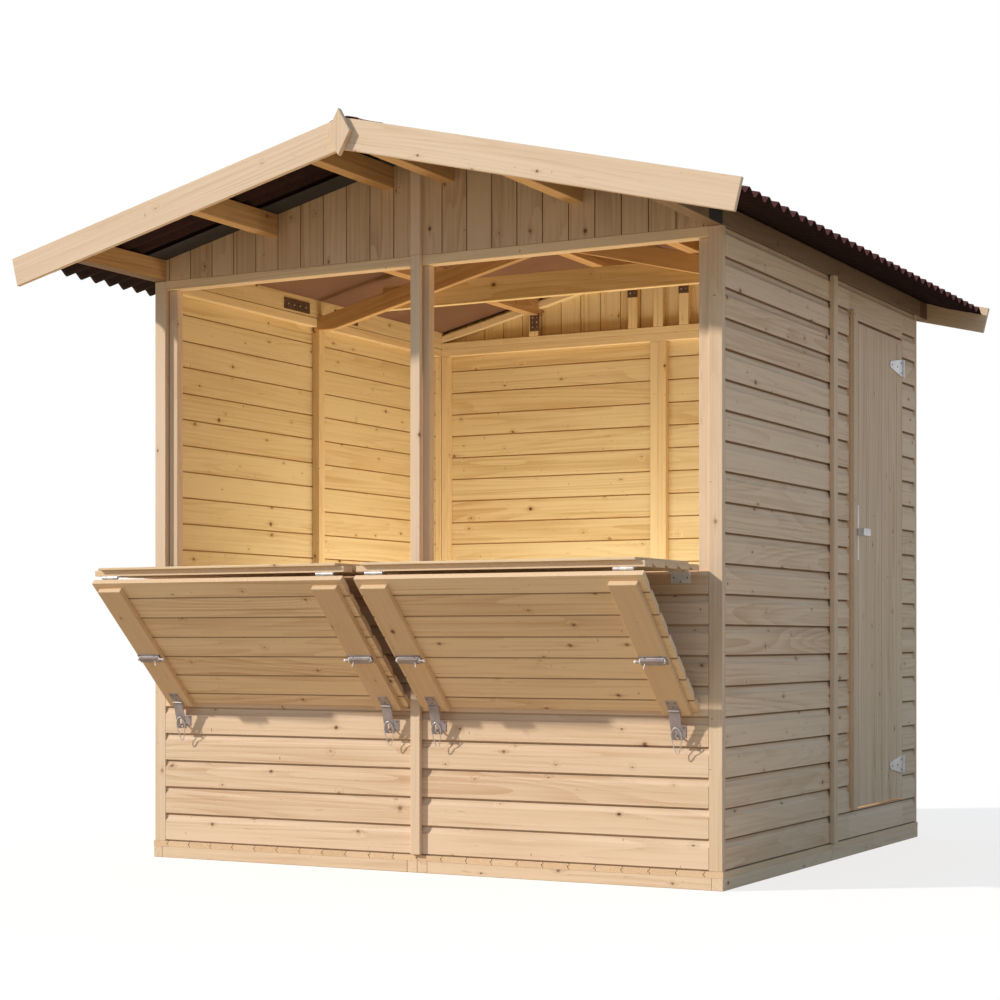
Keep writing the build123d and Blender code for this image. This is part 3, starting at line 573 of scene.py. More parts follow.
def plank_outline(pitch, thickness, chamfer, gap=0.0005, shade=0.95):
    """Section of a tongued and grooved board with chamfered edges on both faces; the third values paint
    shade into the chamfers and the tongue and groove.
    """
    side = pitch - gap
    low, high = thickness * 0.36, thickness * 0.66
    deep = chamfer * 1.3
    return [
        (chamfer, 0.0), (side - chamfer, 0.0), (side, deep, shade), (side, low, 1.0),
        (side + 0.004, low + 0.0003, 1.0), (side + 0.004, high - 0.0003, 1.0), (side, high, 1.0),
        (side, thickness - deep, shade), (side - chamfer, thickness), (chamfer, thickness),
        (0.0, thickness - deep, shade), (0.0, high + 0.0006, 1.0), (0.0047, high + 0.0003, 1.0),
        (0.0047, low - 0.0003, 1.0), (0.0, low - 0.0006, 1.0), (0.0, deep, shade),
    ]


def trim_sides(mesh, width):
    """Cut boards to a width across them, from 0."""
    cut_away(mesh, (0, 0, 0), (0, -1, 0))
    cut_away(mesh, (0, width, 0), (0, 1, 0))


def paint(mesh, finish, chosen):
    """Give a finish to the faces that chosen(polygon) picks."""
    mesh.materials.append(finish)
    for polygon in mesh.polygons:
        if chosen(polygon):
            polygon.material_index = len(mesh.materials) - 1


def run_of_boards(outline, length, count, pitch, seed, finish):
    """Boards along X, one above the next along Y, with their depth along Z."""
    inputs = {"Count": count, "Step": (0.0, pitch, 0.0), "Seed": seed, "Finish": finish}
    boards = through_tree(extruded(outline, length), board_run, inputs)
    paint(boards, end_grain, lambda polygon: abs(polygon.normal.x) > 0.9)
    return boards


def cut_away(mesh, point, outward):
    """Remove what lies beyond a plane and close the cut."""
    work = bmesh.new()
    work.from_mesh(mesh)
    cut(work, point, outward, clear_outer=True, dist=1e-6)
    open_edges = [edge for edge in work.edges if edge.is_boundary]
    bmesh.ops.holes_fill(work, edges=open_edges, sides=0)
    work.to_mesh(mesh)
    work.free()


class Piece:
    """Collects meshes of one body and makes one object of them."""

    def __init__(self):
        self.points = []
        self.faces = []
        self.finishes = []
        self.face_finish = []
        self.grain = []
        self.tone = []
        self.recess_shade = []
        self.smooth = []

    def add(self, mesh, place=None, finish=None, smooth=False):
        """Add a mesh, moved into place, with its own finish or the one given."""
        place = place or Matrix.Identity(4)
        start = len(self.points)
        self.points += [tuple(place @ v.co) for v in mesh.vertices]
        flipped = place.determinant() < 0
        grain, tone, recess_shade = (mesh.attributes.get(name) for name in ("grain", "tone", "recess_shade"))
        for i, vertex in enumerate(mesh.vertices):
            self.grain.extend(grain.data[i].vector if grain else vertex.co)
            self.tone.append(tone.data[i].value if tone else 0.5)
            self.recess_shade.append(recess_shade.data[i].value if recess_shade else 0.0)
        for polygon in mesh.polygons:
            corners = [start + i for i in polygon.vertices]
            self.faces.append(tuple(reversed(corners)) if flipped else tuple(corners))
            own = finish or mesh.materials[polygon.material_index]
            if own not in self.finishes:
                self.finishes.append(own)
            self.face_finish.append(self.finishes.index(own))
            self.smooth.append(smooth)

    def make(self, name, body, slot, *replaced):
        """The finished object, riding on its body."""
        mesh = bpy.data.meshes.new(name)
        mesh.from_pydata(self.points, [], self.faces)
        for finish in self.finishes:
            mesh.materials.append(finish)
        mesh.polygons.foreach_set("material_index", self.face_finish)
        mesh.polygons.foreach_set("use_smooth", self.smooth)
        store(mesh, "grain", self.grain)
        store(mesh, "tone", self.tone)
        store(mesh, "recess_shade", self.recess_shade)
        mesh.update()
        made = linked(name, mesh)
        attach(made, body)
        if replaced:
            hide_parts(*replaced)
        return made


# ---- Timber taken from the frame's own solids ----
def islands(work):
    """The separate shapes of a mesh, each as a list of its vertices."""
    left = set(work.verts)
    while left:
        found = {left.pop()}
        edge = list(found)
        while edge:
            vertex = edge.pop()
            for link in vertex.link_edges:
                other = link.other_vert(vertex)
                if other not in found:
                    found.add(other)
                    edge.append(other)
        left -= found
        yield sorted(found, key=lambda v: v.index)


def clean_copy(node):
    """A node's mesh as a bmesh, with its triangles joined into flat faces."""
    work = bmesh.new()
    work.from_mesh(nodes[node].data)
    bmesh.ops.remove_doubles(work, verts=work.verts, dist=1e-5)
    bmesh.ops.dissolve_limit(work, angle_limit=math.radians(1), verts=work.verts, edges=work.edges)
    work.verts.index_update()
    return work


def dressed_timber(node, finish, seed):
    """A node's timbers with eased edges, each with its grain along its length."""
    draw = random.Random(seed)
    work = clean_copy(node)
    sharp = [e for e in work.edges if e.is_manifold and e.calc_face_angle(0) > 0.5]
    bmesh.ops.bevel(work, geom=sharp, offset=0.0015, segments=1, affect="EDGES", clamp_overlap=True)
    if node == "purlins":
        for end in (-hut_end, hut_end):
            cut(work, (0, end, 0), (0, 1, 0))
        middle = {face: tuple(round(part, 5) for part in face.calc_center_median()) for face in work.faces}
        for number, face in enumerate(sorted(work.faces, key=middle.get)):
            face.index = number
        work.faces.sort()
    work.verts.index_update()
    shapes = [[v.index for v in shape] for shape in islands(work)]
    mesh = mesh_of(work, node)
    points = [vertex.co for vertex in mesh.vertices]
    shapes.sort(key=lambda shape: tuple(round(sum(points[i][k] for i in shape), 3) for k in range(3)))
    grain = [None] * len(points)
    tone = [0.5] * len(points)
    for shape in shapes:
        places = np.array([points[i] for i in shape])
        centre = (places.min(0) + places.max(0)) / 2
        axes = np.linalg.eigh(np.cov((places - centre).T))[1][:, ::-1]
        axes = axes * np.where(axes.sum(0) < 0, -1, 1)
        shift = np.array([draw.uniform(-8, 8) for _ in range(3)])
        own_tone = draw.random()
        for i, place in zip(shape, (places - centre) @ axes + shift):
            grain[i] = place
            tone[i] = own_tone
    store(mesh, "grain", np.array(grain).ravel())
    store(mesh, "tone", tone)
    mesh.materials.append(finish)
    if node == "purlins":
        eave = {i for shape in shapes if abs(points[shape[0]].x) > eave_inside for i in shape}
        outer = eave_face - 0.004
        paint(mesh, inside_wood, lambda face: face.vertices[0] in eave and abs(face.center.y) < hut_end)
        # painted shade under the eaves: the eave purlins' outer and lower faces take the darker copy
        paint(mesh, eave_wood_painted_shade, lambda face: abs(face.center.x) > outer and abs(face.normal.x) > 0.5)
        paint(mesh, eave_wood_painted_shade, lambda face: face.vertices[0] in eave and face.normal.z < -0.5)
    piece = Piece()
    piece.add(mesh)
    return piece


hut_end = abs(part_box("front_panels")[0].y)
eave_face = abs(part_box("left_wall")[0].x) - 0.003
eave_inside = eave_face - 0.1
hut_timbers = {
    "floor_frame": (floor_wood, "framing"),
    "corner_boards": (smooth_wood, "boards"),
    "cover_battens": (smooth_wood, "boards"),
    "front_frame": (smooth_wood, "framing"),
    "front_header": (hatch_wood, "framing"),
    "gable_frames": (inside_posts, "framing"),
    "left_frame": (inside_posts, "framing"),
    "right_frame": (inside_posts, "framing"),
    "back_frame": (inside_posts, "framing"),
    "purlins": (beam_wood, "framing"),
    "rafters": (beam_wood, "framing"),
    "tie_beam": (inside_wood, "framing"),
    "bargeboards": (smooth_wood, "boards"),
    "finials": (smooth_wood, "boards"),
}
bargeboard_seed = 58
for number, (node, (finish, slot)) in enumerate(hut_timbers.items()):
    seed = bargeboard_seed if node == "bargeboards" else number + 11
    dressed_timber(node, finish, seed).make(node + "_timber", "hut", slot, node)
dressed_timber("door_strip", smooth_wood, 41).make("door_strip_timber", "door", "boards", "door_strip")
dressed_timber("door_ledges", inside_wood, 42).make("door_ledge_timber", "door", "framing", "door_ledges")


def chamfered_block(low, high, bevel, grain_axis, seed):
    """A block with eased edges and its own stretch of timber."""
    draw = random.Random(seed)
    work = bmesh.new()
    bmesh.ops.create_cube(work, size=1.0)
    low, high = Vector(low), Vector(high)
    size = high - low
    for vertex in work.verts:
        vertex.co = Vector((vertex.co[i] + 0.5) * size[i] + low[i] for i in range(3))
    bmesh.ops.bevel(work, geom=work.edges[:], offset=bevel, segments=1, affect="EDGES")
    mesh = mesh_of(work, "block")
    order = [grain_axis] + [i for i in range(3) if i != grain_axis]
    shift = [draw.uniform(-8, 8) for _ in range(3)]
    tone = draw.random()
    grain = [v.co[order[i]] + shift[i] for v in mesh.vertices for i in range(3)]
    store(mesh, "grain", grain)
    store(mesh, "tone", [tone] * len(mesh.vertices))
    return mesh


# ---- Walls of lapped boards ----
floor_low, floor_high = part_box("floor_boards")
floor_top = floor_high.z


def wall_place(axis, face, start, base, outward):
    """Boards' X along the wall, Y up it and Z inwards from its face."""
    if axis == "x":
        return placed((1, 0, 0), (0, 0, 1), (0, -outward, 0), (start, face, base))
    return placed((0, 1, 0), (0, 0, 1), (-outward, 0, 0), (face, start, base))


def paint_back(boards):
    """Give the inside finish to the inner face of lapped boards."""
    behind = board_depth - 0.0032
    points = boards.vertices
    paint(boards, inside_wood, lambda face: all(points[i].co.z > behind for i in face.vertices))


def close_top(piece, place, length, height, last_lap, seed):
    """Fill the top of a wall with a fillet where only a sliver of the last board is left; the fillet is
    painted in full shade.
    """
    if height - last_lap < lip_rise:
        fillet = chamfered_block((0, last_lap, lip_depth), (length, height, 0.0140), 0.0002, 0, seed)
        store(fillet, "recess_shade", [1.0] * len(fillet.vertices))
        piece.add(fillet, place, finish=outside_wood)


def clad(piece, axis, face, outward, start, end, low, high, seed, shade):
    """Cover a stretch of wall with lapped boards on the wall's common courses."""
    first = math.floor((low - floor_top) / board_pitch + 1e-4)
    last = math.ceil((high - floor_top) / board_pitch - 1e-4)
    boards = run_of_boards(
        cladding_outline(board_pitch, shade), end - start, last - first, board_pitch, seed, outside_wood
    )
    base = floor_top + first * board_pitch
    cut_away(boards, (0, low - base, 0), (0, -1, 0))
    cut_away(boards, (0, high - base, 0), (0, 1, 0))
    paint_back(boards)
    place = wall_place(axis, face, start, base, outward)
    piece.add(boards, place)
    close_top(piece, place, end - start, high - base, (last - first - 1) * board_pitch, seed)


def wall_from_node(name, node, axis, outward, parts, seed, shade=1.0):
    """Boards over each (start, end) part of a node's wall."""
    low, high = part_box(node)
    outer = low if outward < 0 else high
    face = outer.y if axis == "x" else outer.x
    piece = Piece()
    for number, (start, end) in enumerate(parts):
        clad(piece, axis, face, outward, start, end, low.z, high.z, seed + number, shade)
    piece.make(name, "hut", "boards", node)


half_gap = 0.0003
# the last number of each wall scales the painted shade under its laps: lower for the sunlit front and left
# walls
for name, node, axis, outward, seed, shade in (
    ("front_cladding", "front_panels", "x", -1, 100, 0.45),
    ("back_cladding", "back_wall", "x", 1, 110, 1.0),
    ("left_cladding", "left_wall", "y", -1, 120, 0.45),
):
    low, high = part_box(node)
    index = 0 if axis == "x" else 1
    parts = ((low[index], -half_gap), (half_gap, high[index]))
    wall_from_node(name, node, axis, outward, parts, seed, shade)

door_low, door_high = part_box("door_leaf")
over_low, over_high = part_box("right_wall_over_door")
beside_low, beside_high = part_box("right_wall_beside_door")
front_low, front_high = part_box("right_wall_front")
opening = (over_low.y, over_high.y)
beside = ((beside_low.y, over_low.y), (over_high.y, beside_high.y))
wall_from_node("right_front_cladding", "right_wall_front", "y", 1, ((front_low.y, front_high.y),), 130)
wall_from_node("right_door_side_cladding", "right_wall_beside_door", "y", 1, beside, 140)
courses_to_door_head = 21
over_pitch = floor_top + courses_to_door_head * board_pitch - over_low.z
over_width, over_height = over_high.y - over_low.y, over_high.z - over_low.z
over_boards = run_of_boards(cladding_outline(over_pitch), over_width, 2, over_pitch, 150, outside_wood)
cut_away(over_boards, (0, over_height, 0), (0, 1, 0))
paint_back(over_boards)
over_door = Piece()
over_place = wall_place("y", over_high.x, over_low.y, over_low.z, 1)
over_door.add(over_boards, over_place)
close_top(over_door, over_place, over_width, over_height, over_pitch, 151)
over_door.make("right_over_door_cladding", "hut", "boards", "right_wall_over_door")
wall_from_node("right_under_door_cladding", "right_wall_under_door", "y", 1, (opening,), 160)


# ---- Gables of upright boards ----
roof_slope = 0.245


def gable_boards(name, node, outward, seed):
    """Upright boards cut to both slopes of the roof."""
    low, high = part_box(node)
    half = high.x
    count = 2 * math.ceil(half / plank_pitch)
    outline = plank_outline(plank_pitch, high.y - low.y, 0.0021)
    boards = run_of_boards(outline, high.z - low.z, count, plank_pitch, seed, gable_wood_painted_shade)
    face = low.y if outward < 0 else high.y
    start = outward * count / 2 * plank_pitch
    boards.transform(placed((0, 0, 1), (-outward, 0, 0), (0, -outward, 0), (start, face, low.z)))
    for side in (-1, 1):
        cut_away(boards, (0, 0, high.z), (side * roof_slope, 0, 1))
        cut_away(boards, (side * half, 0, 0), (side, 0, 0))
    paint(boards, inside_wood, lambda polygon: polygon.normal.y * outward < -0.2)
    piece = Piece()
    piece.add(boards)
    piece.make(name, "hut", "boards", node)


gable_boards("front_gable_boards", "front_gable", -1, 200)
gable_boards("back_gable_boards", "back_gable", 1, 210)

# ---- Floor ----
floor = Piece()
floor_count = 24
floor_pitch = 0.0868
first_floor_joint = 0.0575
half_depth = floor_high.y
for number, (start, end) in enumerate(((-half_depth, -half_gap), (half_gap, half_depth))):
    outline = plank_outline(floor_pitch, floor_high.z - floor_low.z, 0.0008, 0.0016)
    boards = run_of_boards(outline, end - start, floor_count, floor_pitch, 220 + number, floor_wood)
    boards.transform(Matrix.Translation((0, first_floor_joint - floor_pitch, 0)))
    trim_sides(boards, floor_high.x - floor_low.x)
    floor.add(boards, placed((0, 1, 0), (-1, 0, 0), (0, 0, 1), (floor_high.x, start, floor_low.z)))
floor.make("floor_planks", "hut", "floor", "floor_boards")

# ---- Door ----
door_pitch = 0.0840
first_door_joint = 0.0045
door_outline = plank_outline(door_pitch, door_high.x - door_low.x, 0.0020, shade=0.7)
door_boards = run_of_boards(door_outline, door_high.z - door_low.z, 8, door_pitch, 230, outside_wood)
door_boards.transform(Matrix.Translation((0, first_door_joint - door_pitch, 0)))
trim_sides(door_boards, door_high.y - door_low.y)
paint(door_boards, inside_wood, lambda polygon: polygon.normal.z > 0.2)
door = Piece()
door.add(door_boards, placed((0, 0, 1), (0, 1, 0), (-1, 0, 0), (door_high.x, door_low.y, door_low.z)))
door.make("door_boards", "door", "boards", "door_leaf")

# ---- Hatches ----
joint_place = {joint["name"]: joint["pos_m"] for joint in frame["joints"]}
flap_lean = math.radians(44.4)
hatch_pitch = 0.0865
counter_thickness = 0.017
lining_gap = 0.0005
lining_thickness = 0.0085
lining_near_gap = 0.0205
lining_lip = 0.0145
flap_length = 0.5445
cleat_inset = 0.019
cleat_width = 0.0877
cleat_back = 0.0385


def flap_place(side_name):
    """Frame of a hanging flap: Y down along it from the hinge, Z square out of its back."""
    origin = (0, *joint_place["flap_fold_" + side_name][1:])
    along_y, along_z = math.cos(flap_lean), -math.sin(flap_lean)
    return placed((1, 0, 0), (0, along_y, along_z), (0, along_z, -along_y), origin)


def hatch_boards(length, reach, first, seed):
    """Lapped boards of a hatch: X along it, Y away from the hinge, Z in from the outside face."""
    count = math.ceil((reach - first) / hatch_pitch) + 1
    boards = run_of_boards(cladding_outline(hatch_pitch), length, count, hatch_pitch, seed, hatch_wood)
    boards.transform(Matrix.Translation((0, first - hatch_pitch, 0)))
    trim_sides(boards, reach)
    return boards


sides = (("left", -1), ("right", 1))
for side_name, side in sides:
    low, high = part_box("counter_" + side_name)
    inner, outer = reach_of("counter_" + side_name)
    length = high.x - low.x
    piece = Piece()
    boards = hatch_boards(length, high.y - (low.y + lining_lip), 0.0615, 300 + side)
    piece.add(boards, placed((1, 0, 0), (0, -1, 0), (0, 0, 1), (low.x, high.y, low.z)))
    lining_low = low.z + counter_thickness + lining_gap
    x_low, x_high = sorted((side * (inner + 0.020), side * (outer - 0.022)))
    corner = (x_high, high.y - lining_near_gap, lining_low + lining_thickness)
    lining = chamfered_block((x_low, low.y, lining_low), corner, 0.0018, 0, 310 + side)
    piece.add(lining, finish=hatch_wood)
    piece.make("counter_boards_" + side_name, "counter_" + side_name, "boards", "counter_" + side_name)

    turn = flap_place(side_name)
    piece = Piece()
    boards = hatch_boards(length, flap_length, 0.0675, 345 + side)
    piece.add(boards, turn @ Matrix.Translation((low.x, 0.0045, 0.004)))
    inner, outer = inner + cleat_inset, outer - cleat_inset
    for number, (near, far) in enumerate(((inner, inner + cleat_width), (outer - cleat_width, outer))):
        x_low, x_high = sorted((side * near, side * far))
        seed = 330 + 2 * side + number
        cleat = chamfered_block((x_low, 0.025, 0.021), (x_high, 0.549, cleat_back), 0.0014, 1, seed)
        piece.add(cleat, turn, finish=hatch_cleats)
    piece.make("flap_boards_" + side_name, "flap_" + side_name, "boards", "flap_" + side_name)

# ---- Roof sheets and ridge cap ----
wave_pitch = 0.0734
wave_steps = 14
sheet_skin = 0.003


def waved_sheet(name, node, ridge, height, edges):
    """A thin sheet whose waves run down the slope, from the height of its crests at the ridge."""
    low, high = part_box(node)
    count = round((high.y - low.y) / wave_pitch * wave_steps)
    rows = []
    for step in range(count + 1):
        y = low.y + (high.y - low.y) * step / count
        rows.append((y, (0.5 - 0.5 * math.cos(2 * math.pi * (y - low.y) / wave_pitch)) ** 0.92))
    work = bmesh.new()
    layers = []
    for drop in (0.0, sheet_skin):
        grid = []
        for x in edges:
            crest, swing = ridge - roof_slope * abs(x) - drop, height(x) - sheet_skin
            grid.append([work.verts.new((x, y, crest - swing * (1 - wave))) for y, wave in rows])
        layers.append(grid)
    top, bottom = layers
    last = len(edges) - 1
    for i in range(last):
        for j in range(count):
            work.faces.new((top[i][j], top[i + 1][j], top[i + 1][j + 1], top[i][j + 1]))
            under = (bottom[i][j], bottom[i][j + 1], bottom[i + 1][j + 1], bottom[i + 1][j])
            work.faces.new(under).material_index = 1
    rim = [(0, j) for j in range(count)] + [(i, count) for i in range(last)]
    rim += [(last, count - j) for j in range(count)] + [(last - i, 0) for i in range(last)]
    for (a, b), (c, d) in zip(rim, rim[1:] + rim[:1]):
        work.faces.new((top[a][b], top[c][d], bottom[c][d], bottom[a][b]))
    bmesh.ops.recalc_face_normals(work, faces=work.faces)
    mesh = mesh_of(work, name)
    mesh.materials.append(roofing)
    mesh.materials.append(sheet_underside)
    piece = Piece()
    piece.add(mesh, smooth=True)
    piece.make(name, "hut", "roof_sheet", node)


sheet_low, sheet_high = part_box("roof_sheet_right")
sheet_crest = sheet_high.z + roof_slope * sheet_low.x
cap_low, cap_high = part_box("ridge_cap")


def sheet_height(x):
    """From crest to underside: the waves stand taller beyond the walls."""
    return 0.0171 if abs(x) < 1.06 else 0.0225


def cap_height(x):
    """From crest to underside: the cap is nearly flat along its middle."""
    return 0.0135 if abs(x) > 0.05 else 0.0032


left_low, left_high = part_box("roof_sheet_left")
right_edges = (sheet_low.x, 1.02, 1.08, sheet_high.x)
left_edges = (left_low.x, -1.08, -1.02, left_high.x)
waved_sheet("roof_waves_right", "roof_sheet_right", sheet_crest, sheet_height, right_edges)
waved_sheet("roof_waves_left", "roof_sheet_left", sheet_crest, sheet_height, left_edges)
cap_edges = (cap_low.x, -0.075, -0.045, -0.012, 0.012, 0.045, 0.075, cap_high.x)
waved_sheet("ridge_cover", "ridge_cap", cap_high.z, cap_height, cap_edges)

# ---- Underlay ----
nodes["roof_felt"].data.materials.clear()
nodes["roof_felt"].data.materials.append(underlay)


# ---- Screws, perforated plates and wire ----
def turned(profile, segments=12):
    """A closed turned shape about Z from (radius, height) corners, bottom to top."""
    work = bmesh.new()
    rings = []
    for radius, height in profile:
        around = arc((0, 0), radius, 0, 2 * math.pi, segments)[:-1] if radius else [(0, 0)]
        rings.append([work.verts.new((x, y, height)) for x, y in around])
    for low, high in zip(rings, rings[1:]):
        for step in range(segments):
            after = (step + 1) % segments
            if len(low) == 1:
                work.faces.new((low[0], high[after], high[step]))
            elif len(high) == 1:
                work.faces.new((low[step], low[after], high[0]))
            else:
                work.faces.new((low[step], low[after], high[after], high[step]))
    bmesh.ops.recalc_face_normals(work, faces=work.faces)
    return mesh_of(work, "turned")


screw_head = turned((
    (0.0, -0.0008), (0.0030, -0.0008), (0.0033, 0.0003), (0.0030, 0.0010), (0.0021, 0.0015),
    (0.0011, 0.0016), (0.0009, 0.0007), (0.0, 0.0006),
))


def screws(piece, places, size=1.0, seed=1, finish=screw_steel):
    """Add screw heads at (point, facing) places."""
    spots = bpy.data.meshes.new("places")
    spots.from_pydata([tuple(point) for point, _ in places], [], [])
    store(spots, "facing", [part for _, direction in places for part in direction])
    holder = linked("places", spots)
    inputs = {"Places": holder, "Size": size, "Seed": seed, "Finish": finish}
    piece.add(through_tree(screw_head.copy(), screw_run, inputs), finish=finish, smooth=True)
    bpy.data.objects.remove(holder)


def wire(points, radius, closed=False):
    """A round wire through points, as a mesh."""
    curve = bpy.data.curves.new("wire", "CURVE")
    curve.dimensions = "3D"
    curve.bevel_depth = radius
    curve.bevel_resolution = 2
    curve.use_fill_caps = True
    curve.resolution_u = 8
    line = curve.splines.new("NURBS")
    line.points.add(len(points) - 1)
    for spot, place in zip(line.points, points):
        spot.co = (*place, 1.0)
    line.order_u = 3
    line.use_cyclic_u = closed
    line.use_endpoint_u = not closed
    holder = linked("wire", curve)
    mesh = bpy.data.meshes.new_from_object(holder)
    bpy.data.objects.remove(holder)
    return mesh


def eased(work, bevel):
    """Bevel the sharp edges of a bmesh and return it as a mesh."""
    sharp = [e for e in work.edges if e.is_manifold and e.calc_face_angle(0) > 0.6]
    bmesh.ops.bevel(work, geom=sharp, offset=bevel, segments=1, affect="EDGES", clamp_overlap=True)
    bmesh.ops.recalc_face_normals(work, faces=work.faces)
    return mesh_of(work, "eased")


def slab(outline, depth, bevel=0.0004):
    """A flat shape from (x, y) corners, as deep as given along Z, with eased edges."""
    work = bmesh.new()
    low = [work.verts.new((x, y, 0.0)) for x, y in outline]
    high = [work.verts.new((x, y, depth)) for x, y in outline]
    work.faces.new(low)
    work.faces.new(high)
    for i in range(len(outline)):
        j = (i + 1) % len(outline)
        work.faces.new((low[i], low[j], high[j], high[i]))
    bmesh.ops.recalc_face_normals(work, faces=work.faces)
    return eased(work, bevel)


def steel_from_node(piece, node, keep=None, finish=zinc):
    """Add a node's steel shapes with eased edges, where keep(low, high) says so."""
    work = clean_copy(node)
    gone = []
    for shape in list(islands(work)):
        low = Vector(min(v.co[k] for v in shape) for k in range(3))
        high = Vector(max(v.co[k] for v in shape) for k in range(3))
        if keep and not keep(low, high):
            gone += shape
    bmesh.ops.delete(work, geom=gone, context="VERTS")
    piece.add(eased(work, 0.0003), finish=finish)


# ---- Hatch steel ----
plate_low, plate_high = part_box("counter_hinges_right")
hinge_width = 0.061
hinge_centres = (plate_low.x + hinge_width / 2, plate_high.x - hinge_width / 2)
hinge_screw_across = (-0.021, 0.021)
fitting_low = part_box("wall_fittings")[0]
staple_height = 0.033
leaf_thickness = 0.002
wall_plate_low = 0.7
wall_face = -hut_end
leaf_face = wall_face - leaf_thickness
leaf_top = joint_place["counter_fold_right"][2] - leaf_thickness

wall_steel = Piece()
steel_from_node(wall_steel, "wall_fittings", lambda low, high: low.z > wall_plate_low, pale_zinc_painted_reflection)
steel_from_node(wall_steel, "wall_fittings", lambda low, high: low.z < wall_plate_low, grey_steel)
places = []
for middle in [side * centre for side in (-1, 1) for centre in hinge_centres]:
    for across, below in ((-0.021, 0.012), (0.021, 0.012), (0.0, 0.024)):
        places.append(((middle + across, leaf_face, leaf_top - below), (0, -1, 0)))
    for across, up in ((-0.0105, -0.0118), (0.0105, 0.0118)):
        height = fitting_low.z + staple_height / 2 + up
        places.append(((middle + across, leaf_face, height), (0, -1, 0)))
screws(wall_steel, places, 0.85, 3)
wall_steel.make("wall_steel", "hut", "steel", "wall_fittings")

bolt_plate_half = 0.016
bolt_plate_thickness = 0.0019
bolt_rod_rise = 0.007
guide_arch = [(-0.0100, 0.0), (-0.0100, 0.0014), (-0.0066, 0.0018)]
guide_arch += [(-across, up) for across, up in arc((0, 0.0040), 0.0060, 0, math.pi, 6)]
guide_arch += [(0.0066, 0.0018), (0.0100, 0.0014), (0.0100, 0.0)]


def bolt(piece, turn, near, far, along, inwards):
    """A slide bolt across a cleat: plate, two guides, rod, tail and a hanging knob."""
    low, high = sorted((near, far))
    middle, half = (low + high) / 2, (high - low) / 2
    cut_low, cut_high = low + 0.003, high - 0.003
    side, edge = bolt_plate_half - 0.003, bolt_plate_half
    plate = slab((
        (low, along - side), (cut_low, along - edge), (cut_high, along - edge), (high, along - side),
        (high, along + side), (cut_high, along + edge), (cut_low, along + edge), (low, along + side),
    ), bolt_plate_thickness)
    piece.add(plate, turn @ Matrix.Translation((0, 0, cleat_back)), finish=pale_zinc_painted_reflection)
    plate_face = cleat_back + bolt_plate_thickness
    pin_place = inwards * half * 0.50
    for start, end in ((-half + 0.004, pin_place - 0.0035), (pin_place + 0.0035, half - 0.004)):
        guide = extruded(guide_arch[::-1], end - start)
        lay = Matrix.Translation((middle + start, along, plate_face))
        piece.add(guide, turn @ lay, finish=pale_zinc_painted_reflection)
    rod_axis = cleat_back + bolt_rod_rise
    rod_low, rod_high = sorted((near, far + inwards * 0.013))
    end = rod_high - rod_low
    foot = ((0.0, 0.0), (0.0036, 0.0), (0.0044, 0.0010))
    rod = turned((*foot, (0.0044, end - 0.001), (0.0036, end), (0.0, end)), 16)
    lay = placed((0, 1, 0), (0, 0, 1), (1, 0, 0), (rod_low, along, rod_axis))
    piece.add(rod, turn @ lay, finish=pale_zinc_painted_reflection, smooth=True)
    root = turn @ Vector((middle + pin_place, along, rod_axis))
    tip = root + Vector((inwards * 0.004, -0.002, -0.0175))
    piece.add(wire([root, (root + tip) / 2, tip], 0.0015), finish=pale_zinc_painted_reflection, smooth=True)
    ball = turned(((0.0, -0.0026), (0.0016, -0.0021), (0.0026, 0.0), (0.0016, 0.0021), (0.0, 0.0026)), 10)
    piece.add(ball, Matrix.Translation(tip), finish=pale_zinc_painted_reflection, smooth=True)
    spots = []
    for across in (-half + 0.0035, half - 0.0035):
        for reach in (-0.0118, 0.0118):
            spot = turn @ Vector((middle + across * 0.93, along + reach, plate_face))
            spots.append((spot, turn.to_3x3() @ Vector((0, 0, 1))))
    screws(piece, spots, 0.72, 5)


def snap_hook(piece, middle, pin_z):
    """A pear-shaped closed wire hook that hangs on the staple."""
    plane = wall_face - 0.0325
    half = [(0.0100, 0.0200), (0.0165, 0.0060), (0.0150, -0.0120), (0.0095, -0.0340), (0.0050, -0.0480)]
    outline = [(0.0, 0.026), *half, (0.0, -0.052), *((-across, up) for across, up in reversed(half))]
    points = [(middle + across, plane - 0.20 * up, pin_z + up) for across, up in outline]
    piece.add(wire(points, 0.0015, closed=True), finish=zinc, smooth=True)


